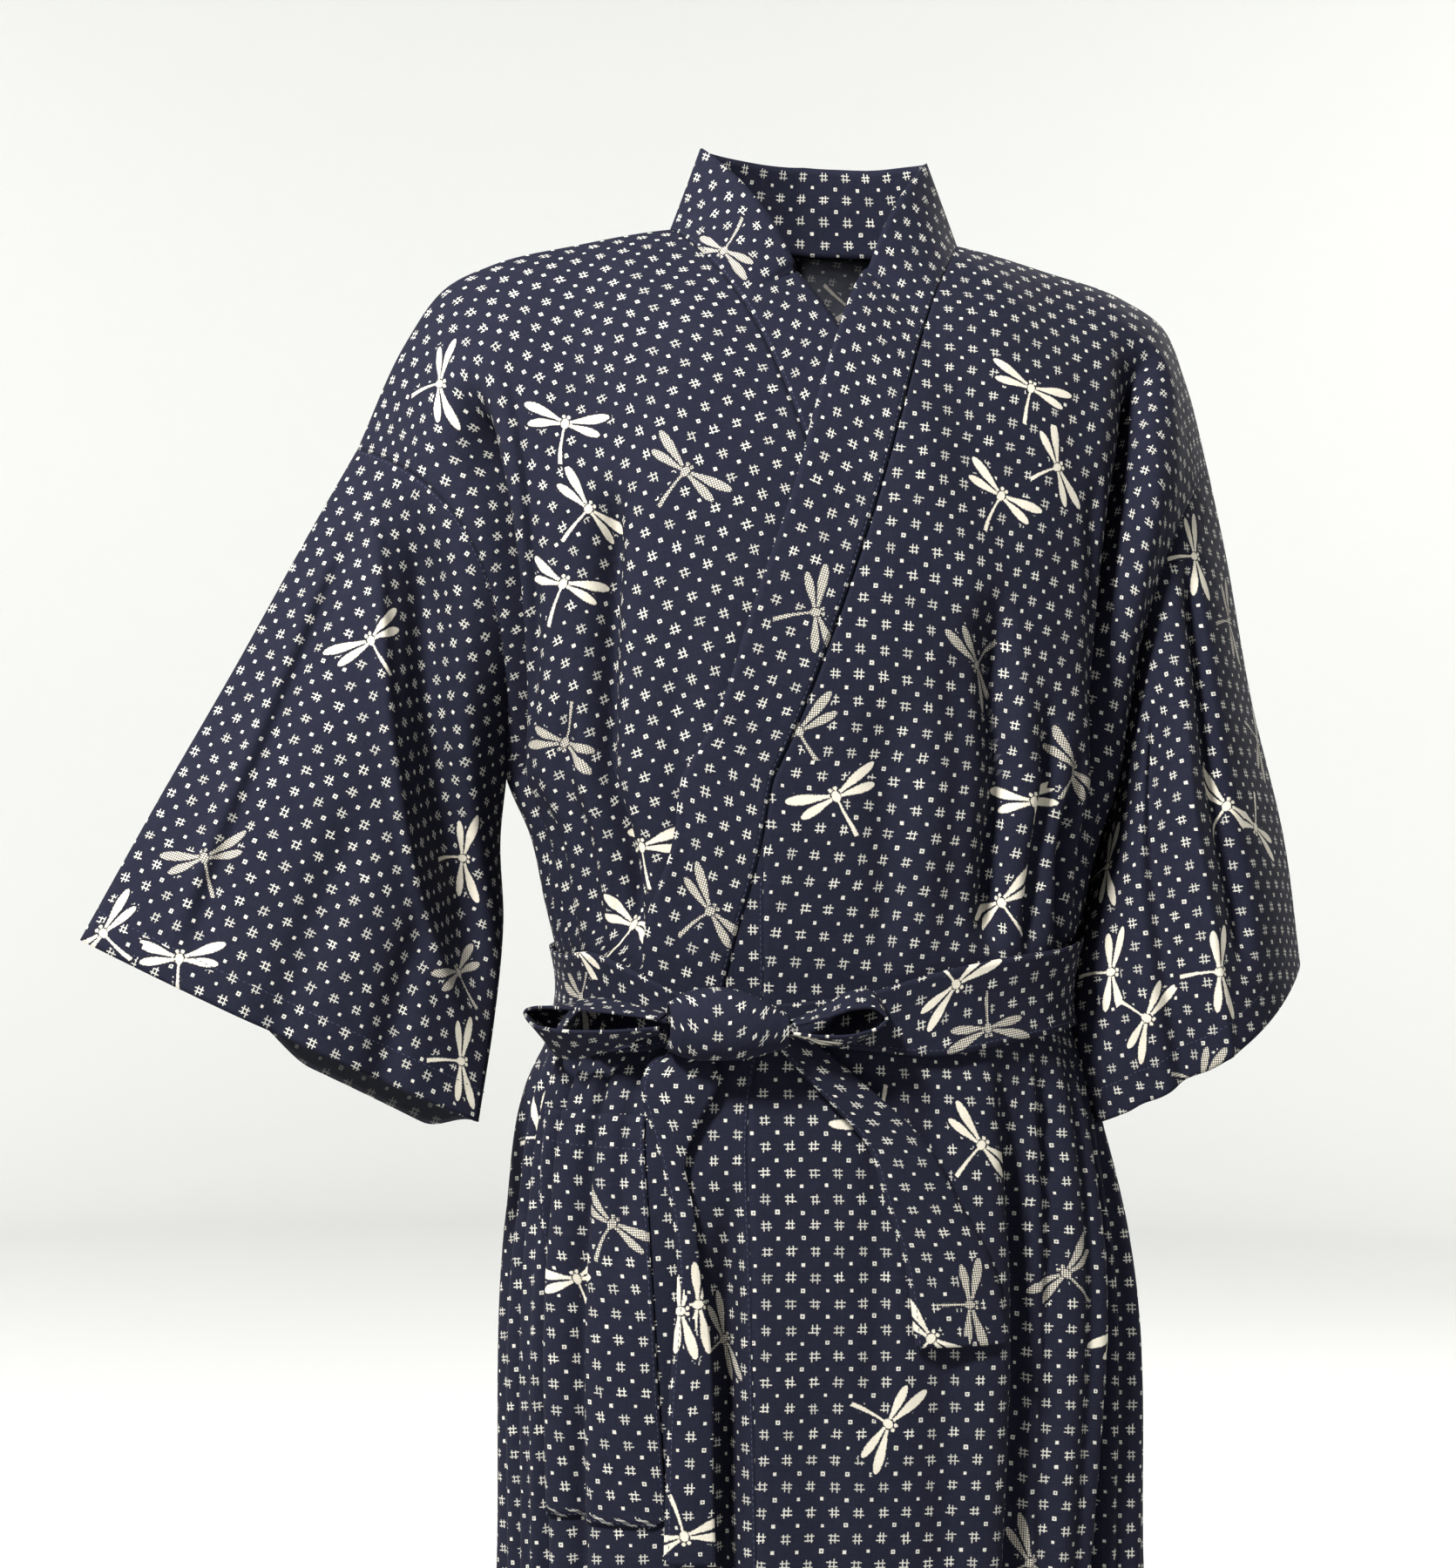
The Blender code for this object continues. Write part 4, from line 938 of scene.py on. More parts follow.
@dataclass(frozen=True)
class CottonPrint:
    """Matt navy cotton with a small print of well crosses, dots and dragonflies. Lengths in millimetres."""

    name: str
    ground: Colour = (0.0078, 0.0086, 0.0180)
    faded: Colour = (0.0165, 0.0176, 0.0310)
    mark: Colour = (0.64, 0.63, 0.57)
    cream: Colour = (0.68, 0.64, 0.54)
    back: Colour = (0.085, 0.088, 0.105)
    back_pale: float = 0.55
    across_pitch: float = 14.4
    down_pitch: float = 15.2
    stroke_apart: float = 1.2
    stroke_width: float = 0.33
    stroke_length: float = 2.9
    stroke_askew: float = 0.5
    stroke_slip: float = 1.3
    stroke_uneven: float = 0.8
    faintest_cross: float = 0.65
    dot_size: float = 1.08
    dot_uneven: float = 0.5
    dot_middle: float = 0.45
    dots_without_middle: float = 0.6
    dot_strength: float = 0.92
    drift: float = 1.6
    drift_grain: Grain = (34.0, 34.0)
    other_drift_grain: Grain = (41.0, 37.0)
    ragged: float = 0.5
    rag_grain: Grain = (0.9, 0.9)
    figure_scale: float = 1.32
    figure_rag: float = 3.0
    figure_edge: float = 0.3
    halo: float = 1.7
    edge: float = 0.14
    net_per_mm: float = 0.74
    net_hole: float = 0.36
    net_edge: float = 0.05
    warp: Grain = (0.55, 9.0)
    weft: Grain = (11.0, 0.6)
    wear_grain: Grain = (90.0, 120.0)
    wear_share: float = 0.45
    slub_share: float = 0.5
    mark_cover: tuple[float, float] = (0.25, 0.72)
    cream_cover: tuple[float, float] = (0.2, 0.76)
    crumple_grain: Grain = (26.0, 44.0)
    small_crumple_grain: Grain = (13.0, 31.0)
    crumple_share: float = 0.7
    roughness: float = 0.9
    gloss: float = 0.07
    sheen: float = 0.005
    sheen_roughness: float = 0.45
    grain: float = 0.3
    grain_depth: float = 0.0004
    crease: float = 0.55
    crease_depth: float = 0.0035

    def cell(self, place: Wire, pitch: float, phase: float) -> tuple[Wire, Wire]:
        """Finds the cell that a place lies in.

        Args:
            place: millimetres along the cloth.
            pitch: size of a cell.
            phase: share of a cell by which all are shifted.

        Returns:
            The number of the cell and the distance from its middle.
        """
        steps = place / pitch + phase
        number = steps.math("ROUND")
        return number, (steps - number) * pitch

    def chance(self, across: Wire, down: Wire, seed: float) -> list[Wire]:
        """Draws random numbers that hold all over a cell.

        Args:
            across: number of the cell's column.
            down: number of the cell's row.
            seed: seed of the draw.

        Returns:
            Three numbers from 0 to 1.
        """
        nodes = across.nodes
        join = nodes.add("ShaderNodeCombineXYZ", {0: across, 1: down, 2: seed})
        noise = nodes.add("ShaderNodeTexWhiteNoise", {"Vector": join.outputs[0]})
        split = nodes.add("ShaderNodeSeparateColor", {0: noise.outputs["Color"]})
        return [Wire(nodes, out) for out in split.outputs]

    def noise(self, across: Wire, down: Wire, grain: Grain, detail: float = 1.0) -> Wire:
        """Soft noise over the cloth.

        Args:
            across: millimetres across the cloth.
            down: millimetres down the cloth.
            grain: size of the grain across and down.
            detail: how many finer layers it has.

        Returns:
            A number from 0 to 1.
        """
        nodes = across.nodes
        join = nodes.add("ShaderNodeCombineXYZ", {0: across / grain[0], 1: down / grain[1]})
        node = nodes.add("ShaderNodeTexNoise", {"Scale": 1.0, "Detail": detail, "Vector": join.outputs[0]})
        return Wire(nodes, node.outputs["Fac"])

    def crosses(self, across: Wire, down: Wire) -> tuple[Wire, Wire]:
        """The well crosses, two strokes across two strokes.

        Args:
            across: millimetres across the cloth.
            down: millimetres down the cloth.

        Returns:
            Distance from the nearest stroke, negative inside it, and how strongly its cross is printed.
        """
        column, x = self.cell(across, self.across_pitch, 0.0)
        row, y = self.cell(down, self.down_pitch, 0.0)
        first = self.chance(column, row, 1.0)
        second = self.chance(column, row, 2.0)
        third = self.chance(column, row, 3.0)
        mask = None
        strokes = ((x, y, -1, first), (x, y, 1, second), (y, x, -1, third), (y, x, 1, first[::-1]))
        for beside, run, sign, luck in strokes:
            askew, slip = (luck[0] - 0.5) * self.stroke_askew, (luck[1] - 0.5) * self.stroke_slip
            reach = luck[2] * self.stroke_uneven + (self.stroke_length - self.stroke_uneven / 2)
            width = (askew + beside - sign * self.stroke_apart).size() - self.stroke_width
            stroke = width.most((slip + run).size() - reach)
            mask = stroke if mask is None else mask.least(stroke)
        return mask, second[1]

    def dots(self, across: Wire, down: Wire) -> Wire:
        """The small squares between the crosses, some with a dark middle.

        Args:
            across: millimetres across the cloth.
            down: millimetres down the cloth.

        Returns:
            Distance from the nearest square, negative inside it.
        """
        column, x = self.cell(across, self.across_pitch, 0.5)
        row, y = self.cell(down, self.down_pitch, 0.5)
        luck = self.chance(column, row, 5.0)
        away = (luck[1] - 0.5 + x).size().most((luck[2] - 0.5 + y).size())
        square = away - (luck[0] * self.dot_uneven + (self.dot_size - self.dot_uneven / 2))
        middle = (away * -1.0 + self.dot_middle).least((luck[0] - self.dots_without_middle) * 6.0)
        return square.most(middle)

    def dragonfly(self, x: Wire, y: Wire) -> Wire:
        """The outline of a dragonfly whose head points along y.

        Args:
            x: distance to its right in units of the drawing.
            y: distance ahead of its middle.

        Returns:
            Distance from the outline, negative inside it.
        """
        beside = x.size()
        outline = None
        wings = ((2.4, 0.9, 17.0, 20.0, 2.15), (2.2, -0.7, -6.0, 16.5, 1.90))
        for root_x, root_y, rise, long, half in wings:
            cos, sin = math.cos(math.radians(rise)), math.sin(math.radians(rise))
            dx, dy = beside - root_x, y - root_y
            run = dx * cos + dy * sin
            side = (dy * cos - dx * sin).size()
            share = run / long
            widen = share.span(0.0, 0.62, 0.7, half)
            tip = (share - 0.64).most(0.0) / 0.36
            round_tip = ((tip * tip) * -1.0 + 1.0).most(0.0).math("SQRT")
            wing = (side - widen * round_tip).most(run * -1.0).most(run - long)
            outline = wing if outline is None else outline.least(wing)
        eye = self.ball(beside, y, 1.2, 3.0, 0.85, 0.85)
        thorax = self.ball(x, y, 0.0, -0.3, 1.9, 2.4)
        fall = (y + 4.0) * -1.0
        bend = (fall * fall) * 0.006
        thick = fall.span(0.0, 15.0, 0.5, 0.95)
        tail = ((x - bend).size() - thick).most(fall * -1.0 - 1.5).most(fall - 15.5)
        return outline.least(eye).least(thorax).least(tail)

    def ball(self, x: Wire, y: Wire, at_x: float, at_y: float, wide: float, high: float) -> Wire:
        """Distance from an ellipse, negative inside it."""
        dx, dy = (x - at_x) / wide, (y - at_y) / high
        return ((dx * dx + dy * dy).math("SQRT") - 1.0) * min(wide, high)

    def build(self) -> bpy.types.Material:
        """Draws the print with nodes.

        Returns:
            The material.
        """
        material, nodes = new_material(self.name)
        weave = nodes.add("ShaderNodeUVMap")
        weave.uv_map = "weave"
        split = nodes.add("ShaderNodeSeparateXYZ", {0: weave.outputs[0]})
        across = Wire(nodes, split.outputs[0]) * MM
        down = Wire(nodes, split.outputs[1]) * MM
        parts = nodes.add("ShaderNodeSeparateXYZ", {0: nodes.attribute("figure").outputs["Vector"]})
        beside, ahead, filling = (Wire(nodes, out) for out in parts.outputs)

        rag = (self.noise(across, down, self.rag_grain) - 0.5) * self.ragged
        soft_across = (self.noise(across, down, self.drift_grain) - 0.5) * self.drift + across
        soft_down = (self.noise(down, across, self.other_drift_grain) - 0.5) * self.drift + down
        cross, strength = self.crosses(soft_across, soft_down)
        dot = self.dots(soft_across, soft_down)
        outline = self.dragonfly(beside / self.figure_scale, ahead / self.figure_scale) * self.figure_scale
        clear = (outline - self.halo).span(-0.3, 0.3)
        cover = strength * (1 - self.faintest_cross) + self.faintest_cross
        crosses = (cross + rag).inside(self.edge) * clear * cover
        dots = (dot + rag).inside(self.edge) * clear * self.dot_strength
        solid = (rag * self.figure_rag + outline).inside(self.figure_edge)
        net_across = (across * self.net_per_mm).math("FRACT")
        net_down = (down * self.net_per_mm).math("FRACT")
        knots = (net_across - 0.5).size().most((net_down - 0.5).size())
        net = solid * (knots - self.net_hole).inside(self.net_edge)
        filled = (net - solid) * filling.span(0.2, 0.8) + solid
        marks = crosses.most(dots)

        slub = self.noise(across, down, self.warp) * 0.5 + self.noise(across, down, self.weft) * 0.5
        wear = self.noise(across, down, self.wear_grain, 3.0) * self.wear_share
        base = nodes.mix(wear + slub.span(0.3, 0.7) * self.slub_share, self.ground, self.faded)
        thick = slub.span(0.2, 0.7)
        on_mark, on_cream = (thick * more + least for more, least in (self.mark_cover, self.cream_cover))
        printed = nodes.mix(marks * on_mark, base, self.mark)
        face = nodes.mix(filled * on_cream, printed, self.cream)
        turned = Wire(nodes, nodes.attribute("wrong_side").outputs["Fac"])
        wide_crumple = self.noise(across, down, self.crumple_grain, 2.0) * self.crumple_share
        small_crumple = self.noise(down, across, self.small_crumple_grain, 2.0)
        crumple = wide_crumple + small_crumple * (1 - self.crumple_share)
        creased = nodes.bump(crumple, self.crease, self.crease_depth)
        grained = nodes.bump(slub, self.grain, self.grain_depth)
        nodes.feed(grained, {"Normal": creased.outputs[0]})
        nodes.shade({
            "Base Color": nodes.mix(turned * self.back_pale, face, self.back),
            "Roughness": self.roughness,
            "Sheen Weight": self.sheen,
            "Sheen Roughness": self.sheen_roughness,
            "Specular IOR Level": self.gloss,
            "Normal": grained.outputs[0],
        })
        return material


class Edge(Enum):
    """An edge of a cloth grid, with the axis along it and whether it is the last."""

    FIRST_ROW = (1, False)
    LAST_ROW = (1, True)
    FIRST_COLUMN = (0, False)
    LAST_COLUMN = (0, True)


@dataclass(frozen=True)
class Seam:
    """A row of stitches that runs beside one edge of a cloth, from one share of its length to another."""

    edge: Edge
    inset: float
    start: float = 0.0
    stop: float = 1.0

    def line(self, sheet: Cloth, lift: float) -> tuple[np.ndarray, np.ndarray]:
        """The points of the row of stitches and the directions out of the cloth there.

        Args:
            sheet: the cloth.
            lift: distance from the middle of the cloth.

        Returns:
            Points and directions, in order along the row.
        """
        along_axis, last = self.edge.value
        points, out = sheet.points, sheet.normals
        if sheet.closed:
            points, out = (np.concatenate([grid, grid[:, :1]], 1) for grid in (points, out))
        if along_axis == 1:
            points, out = points.swapaxes(0, 1), out.swapaxes(0, 1)
        if last:
            points, out = points[:, ::-1], out[:, ::-1]
        run = arc(points, 1)
        inset = [self.inset] * len(points)
        place, way = spread(inset, run, points), unit(spread(inset, run, out))
        first, stop = int(self.start * (len(place) - 1)), int(round(self.stop * (len(place) - 1))) + 1
        return (place + way * lift)[first:stop], way[first:stop]


@dataclass(frozen=True)
class Thread:
    """Sewing thread: its stitches, made with Geometry Nodes, and its finish. Lengths in metres."""

    name: str
    pitch: float = 0.0036
    length: float = 0.0026
    width: float = 0.00055
    height: float = 0.00035
    wander: float = 0.00018
    seed: int = 7
    segments: int = 6
    rings: int = 4
    colour: Colour = (0.030, 0.034, 0.060)
    lighter: float = 1.8
    twist: float = 900.0
    twist_strength: float = 0.4
    twist_depth: float = 0.0002
    roughness: float = 0.75
    gloss: float = 0.2

    def finish(self) -> bpy.types.Material:
        """Makes the twisted cotton of the thread.

        Returns:
            The material.
        """
        material, nodes = new_material(self.name)
        place = nodes.add("ShaderNodeTexCoord").outputs["Object"]
        noise = nodes.add("ShaderNodeTexNoise", {"Scale": self.twist, "Vector": place}).outputs["Fac"]
        light = tuple(self.lighter * c for c in self.colour)
        nodes.shade({
            "Base Color": nodes.mix(noise, self.colour, light),
            "Roughness": self.roughness,
            "Specular IOR Level": self.gloss,
            "Normal": nodes.bump(noise, self.twist_strength, self.twist_depth).outputs[0],
        })
        return material

    def tree(self) -> bpy.types.NodeTree:
        """Lays a small stitch at even steps along every line, flat on the cloth.

        Returns:
            The nodes that do so.
        """
        group = bpy.data.node_groups.new("stitches", "GeometryNodeTree")
        inputs = {"Lines": "Geometry", "Seed": "Int", "Finish": "Material"}
        inputs |= dict.fromkeys(("Pitch", "Length", "Width", "Height", "Wander"), "Float")
        for name, kind in inputs.items():
            group.interface.new_socket(name, in_out="INPUT", socket_type=f"NodeSocket{kind}")
        group.interface.new_socket("Stitches", in_out="OUTPUT", socket_type="NodeSocketGeometry")
        nodes = Nodes(group)
        given = nodes.add("NodeGroupInput").outputs
        curve = nodes.add("GeometryNodeMeshToCurve", {"Mesh": given["Lines"]})
        steps = nodes.add("GeometryNodeResampleCurve")
        steps.mode = "LENGTH"
        nodes.feed(steps, {"Curve": curve.outputs["Curve"], "Length": given["Pitch"]})
        out = nodes.add("GeometryNodeInputNamedAttribute")
        out.data_type = "FLOAT_VECTOR"
        nodes.feed(out, {"Name": "out"})
        tangent = nodes.add("GeometryNodeInputTangent").outputs[0]
        lengthwise = nodes.add("FunctionNodeAlignRotationToVector", {"Vector": tangent})
        lengthwise.axis = "X"
        upright = nodes.add("FunctionNodeAlignRotationToVector", {
            "Rotation": lengthwise.outputs[0], "Vector": out.outputs["Attribute"]})
        upright.axis, upright.pivot_axis = "Z", "X"
        ball = nodes.add("GeometryNodeMeshUVSphere", {
            "Segments": self.segments, "Rings": self.rings, "Radius": 0.5})
        size = nodes.add("ShaderNodeCombineXYZ", {0: given["Length"], 1: given["Width"], 2: given["Height"]})
        wander = nodes.add("FunctionNodeRandomValue")
        wander.data_type = "FLOAT_VECTOR"
        nodes.feed(wander, {"Seed": given["Seed"]})
        for limit, sign in (("Min", -1.0), ("Max", 1.0)):
            scale = nodes.add("ShaderNodeVectorMath")
            scale.operation = "SCALE"
            nodes.feed(scale, {0: (sign, sign, 0.0), "Scale": given["Wander"]})
            nodes.feed(wander, {limit: scale.outputs[0]})
        lay = nodes.add("GeometryNodeInstanceOnPoints", {
            "Points": steps.outputs["Curve"], "Instance": ball.outputs["Mesh"],
            "Rotation": upright.outputs[0], "Scale": size.outputs[0]})
        shift = nodes.add("GeometryNodeTranslateInstances", {
            "Instances": lay.outputs[0], "Translation": wander.outputs["Value"]})
        real = nodes.add("GeometryNodeRealizeInstances", {0: shift.outputs[0]})
        dress = nodes.add("GeometryNodeSetMaterial", {
            "Geometry": real.outputs[0], "Material": given["Finish"]})
        nodes.add("NodeGroupOutput", {0: dress.outputs[0]})
        return group

    def sew(
        self, name: str, lines: list[tuple[np.ndarray, np.ndarray]], kit: "SewingKit"
    ) -> bpy.types.Object:
        """Stitches along some lines, as one plain mesh.

        Args:
            name: name of the object.
            lines: points and directions out of the cloth, a pair for each row of stitches.
            kit: the shared nodes and finish.

        Returns:
            The object.
        """
        points = np.concatenate([line[0] for line in lines])
        out = np.concatenate([line[1] for line in lines])
        ends = np.cumsum([0] + [len(line[0]) for line in lines])
        edges = [(k, k + 1) for a, b in zip(ends[:-1], ends[1:]) for k in range(a, b - 1)]
        guide = bpy.data.meshes.new(name)
        guide.from_pydata(points.tolist(), edges, [])
        guide.attributes.new("out", "FLOAT_VECTOR", "POINT").data.foreach_set("vector", out.ravel())
        piece = put_in_scene(name, guide)
        modifier = piece.modifiers.new("stitches", "NODES")
        modifier.node_group = kit.nodes
        values = {
            "Pitch": self.pitch, "Length": self.length, "Width": self.width, "Height": self.height,
            "Wander": self.wander, "Seed": self.seed, "Finish": kit.finish,
        }
        for socket in kit.nodes.interface.items_tree:
            if socket.name in values:
                modifier[socket.identifier] = values[socket.name]
        evaluated = piece.evaluated_get(bpy.context.evaluated_depsgraph_get())
        mesh = bpy.data.meshes.new_from_object(evaluated)
        piece.modifiers.remove(modifier)
        piece.data = mesh
        mesh.name = name
        mesh.shade_smooth()
        return piece


@dataclass(frozen=True)
class SewingKit:
    """What all stitches share: the thread, its nodes and its finish."""

    thread: Thread
    nodes: bpy.types.NodeTree
    finish: bpy.types.Material


@dataclass
class Panel:
    """A cut piece of cloth that stands for one solid of the frame.

    Attributes:
        node: the solid's name.
        slot: which cotton the cloth is cut from.
        wall: thickness shown.
        flat: width and length that it was cut to.
        held: how the cloth is held.
        rests_on: what it hangs from or lies on; not used.
        area: area of the flat cut where it isn't a rectangle; not used.
        seams: the rows of stitches that show on it.
    """

    node: str
    slot: str = "cotton"
    wall: float = 0.0012
    flat: tuple[float, float] = (0.1, 0.1)
    held: str = "hung"
    rests_on: tuple[str, ...] = ()
    area: float | None = None
    seams: tuple[Seam, ...] = ()

    def cloth(self) -> Cloth:
        """The sheet of this panel."""
        raise NotImplementedError

    def all_figures(self) -> list[Motif]:
        """Gathers the charted figures, and strews others over the sides that the photograph hides.

        Returns:
            Place, turn and filling of each.
        """
        found = list(FIGURES.get(self.node, ()))
        for seed, low_x, low_y, high_x, high_y in STREWN.get(self.node, ()):
            rng = np.random.default_rng(int(seed))
            for x in np.arange(low_x, high_x, STREW_ACROSS):
                for y in np.arange(low_y, high_y, STREW_DOWN):
                    at_x, at_y = x + rng.uniform(0, STREW_SHIFT[0]), y + rng.uniform(0, STREW_SHIFT[1])
                    filling = Figure.NET if rng.random() < NET_SHARE else Figure.SOLID
                    turn = float(rng.choice(STREW_TURNS)) + rng.uniform(-STREW_SWING, STREW_SWING)
                    if all(math.hypot(at_x - m[0], at_y - m[1]) > STREW_APART for m in found):
                        found.append((at_x, at_y, turn, filling))
        return found

    def build(self, finish: bpy.types.Material, kit: SewingKit) -> None:
        """Makes the panel and its stitches, hangs them from the root and hides the solid that the panel
        replaces.

        Args:
            finish: material of the cloth.
            kit: what the stitches are sewn with.
        """
        sheet = self.cloth()
        single = 1.0 if self.slot == "cotton" and self.held == "hung" else 0.0
        piece = sheet.shell(f"{self.node}_cloth", self.wall, self.all_figures(), finish, single)
        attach(piece, "root")
        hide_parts(self.node)
        if self.seams:
            lines = [seam.line(sheet, self.wall / 2) for seam in self.seams]
            stitches = kit.thread.sew(f"{self.node}_stitches", lines, kit)
            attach(stitches, "root")
            log.info("%s: %d faces", stitches.name, len(stitches.data.polygons))
        faces = len(piece.data.polygons)
        log.info("%s: %.4f m2 of cloth, cut %s, %d faces", piece.name, sheet.area(), self.flat, faces)


@dataclass
class BodyHalf(Panel):
    """One half of the body, from the front hem over the shoulder to the back hem.

    The print keeps its true length down one lane of the cloth, and its true width from one share of the way
    to the side. Its slant in degrees is that of the front above the belt, about a pivot on the cloth.
    """

    side: Side = Side.LEFT
    columns: int = 92
    upper_rows: int = 62
    lower_rows: int = 170
    lanes: int = 41
    true_lane: int = 18
    true_share: float = 0.45
    fine_steps: int = 401
    soft_rows: int = 5
    pivot: tuple[float, float] = (0.06, 0.04)
    slant: float = 0.0

    def rows(self) -> np.ndarray:
        """Spaces the rows from the ridge to the hem, close together along the curve of the neck.

        Returns:
            v of each row.
        """
        neck = NECK_DIP * np.sin(np.linspace(0, math.pi / 2, NAPE_ROWS))
        upper, lower = np.linspace(0, 1, self.upper_rows), np.linspace(1, 2, self.lower_rows)
        return np.unique(np.concatenate([neck, upper, lower]))

    def weave_of(self, c: np.ndarray, v: np.ndarray, points: np.ndarray, down: np.ndarray) -> np.ndarray:
        """Metres across and down the cloth.

        Args:
            c: c of the grid.
            v: v of the grid.
            points: points of the folded grid.
            down: 1 on the front rows, -1 on the back rows.

        Returns:
            The two numbers for each point of the grid.
        """
        share = side_share(c)
        run = arc(points, 1)
        reference = np.array([np.interp(self.true_share, s, r) for s, r in zip(share, run)])
        across = self.side.value * soften(run - reference[:, None], self.soft_rows)
        fine = np.linspace(0, 2, self.fine_steps)
        lanes = np.linspace(0, 1, self.lanes)
        depth = np.zeros_like(v)
        for face in (1, -1):
            lane_c = self.side.value * (lanes if face > 0 else 2 - lanes)
            length = arc(FORM.smooth(lane_c[None, :], fine[:, None]), 0)
            even = length[:, self.true_lane, None] - length
            eased = length + even * ease(0.25, 1.7, fine)[:, None]
            mine = down[:, 0] == face
            at = np.clip(share[mine], 0, 1) * (self.lanes - 1)
            low = np.clip(at.astype(int), 0, self.lanes - 2)
            table = np.stack([np.interp(v[mine, 0], fine, lane) for lane in eased.T], 1)
            left, right = (np.take_along_axis(table, lane, 1) for lane in (low, low + 1))
            depth[mine] = left + (right - left) * (at - low)
        flat = Flattener(rows=66).flat(points, np.stack([across, down * depth], -1))
        turn = np.radians(self.slant) * ease(0.0, 0.5, v) * (1 - ease(1.09, 1.15, v)) * (down > 0)
        return rotate(flat - self.pivot, np.cos(turn), np.sin(turn)) + self.pivot

    def cloth(self) -> Cloth:
        """Lays out the half of the body.

        Returns:
            Rows from front hem to back hem, columns from the inner edge to the side.
        """
        v = self.rows()
        t = np.linspace(0, 1, self.columns)
        front = np.minimum(front_c(v[::-1])[:, None] * (1 - t) + t, 1 - BESIDE)
        back = np.maximum(back_c(v[1:])[:, None] * (1 - t) + t, 1 + BESIDE)
        c = self.side.value * np.concatenate([front, back])
        rows_v = np.concatenate([v[::-1], v[1:]])[:, None] + 0 * c
        down = np.concatenate([np.ones(len(front)), -np.ones(len(back))])[:, None] + 0 * c
        points = FORM.cloth(c, rows_v, self.side)
        sheet = Cloth(points, self.weave_of(c, rows_v, points, down))
        sheet.normals = sheet.normals * self.side.value
        return sheet


@dataclass
class Okumi(Panel):
    """The overlap panel of one side, from its tip at the collar seam down to the hem."""

    side: Side = Side.LEFT
    columns: int = 26
    rows: int = 190

    def cloth(self) -> Cloth:
        """Lays out the overlap panel.

        Returns:
            Rows from the tip to the hem, columns from the seam to the free edge.
        """
        v = np.linspace(OKUMI_TOP + 0.003, 2, self.rows)
        inner = front_c(v)
        edge = np.where(v < COLLAR_END, seam_c(v), along(OKUMI, v)[..., 1])
        c = self.side.value * (inner[:, None] + (edge - inner)[:, None] * np.linspace(0, 1, self.columns))
        rows_v = v[:, None] + 0 * c
        points = FORM.cloth(c, rows_v, self.side)
        across = -self.side.value * arc(points, 1)
        down = 0 * across + (z_of(v[0]) - z_of(v))[:, None]
        return Cloth(points, np.stack([across + 0.006, down + 0.004], -1), FORM.normals(c, rows_v, self.side))


@dataclass
class Collar(Panel):
    """The narrow collar band, from its lower end on the right front round the nape to the left front."""

    out: float = 0.0006
    columns: int = 14
    chest_rows: int = 110
    neck_rows: int = 40
    print_shift: float = 0.009
    inside: Spot = (0.0, 0.03, -0.35)

    def half(self, side: Side) -> np.ndarray:
        """Lays out the band of one side, from its lower end to the centre of the nape.

        Args:
            side: the side.

        Returns:
            Rows of points from the seam to the free edge.
        """
        w = np.linspace(0, 1, self.columns)
        chest_v = np.linspace(COLLAR_END, CHEST_V, self.chest_rows)
        edge = along(COLLAR_FRONT, chest_v)
        c = side.value * (seam_c(chest_v)[:, None] * (1 - w) + edge[:, 2, None] * w)
        v = chest_v[:, None] * (1 - w) + edge[:, 1, None] * w
        chest = FORM.cloth(c, v, side, self.out)
        neck_v = np.linspace(CHEST_V, 0, self.neck_rows)[1:]
        turn = np.linspace(0, 1, NAPE_ROWS)[1:]
        nape_v = NECK_DIP * np.sin(turn * math.pi / 2)
        away = np.concatenate([along(COLLAR_NECK, neck_v)[:, 1:], along(COLLAR_NAPE, turn)])
        seam = side.value * np.concatenate([seam_c(neck_v), back_c(nape_v)])
        base = FORM.cloth(seam, np.concatenate([neck_v, nape_v]), side, 0.0)
        stand = base[:, None] + w[None, :, None] * (away * (side.value, 1, 1))[:, None]
        return np.concatenate([chest, stand])

    def cloth(self) -> Cloth:
        """Joins the bands of both sides at the nape.

        Returns:
            Rows from the right lower end to the left lower end, columns from the seam to the free edge.
        """
        right, left = self.half(Side.RIGHT), self.half(Side.LEFT)
        points = np.concatenate([right, left[-2::-1]])
        down = arc(points[:, self.columns // 2 : self.columns // 2 + 1], 0)
        down = down - down[len(right) - 1]
        across = -arc(points, 1)
        weave = np.stack([across + self.print_shift, down + 0 * across], -1)
        return Cloth(points, weave).turned_out(np.array(self.inside))


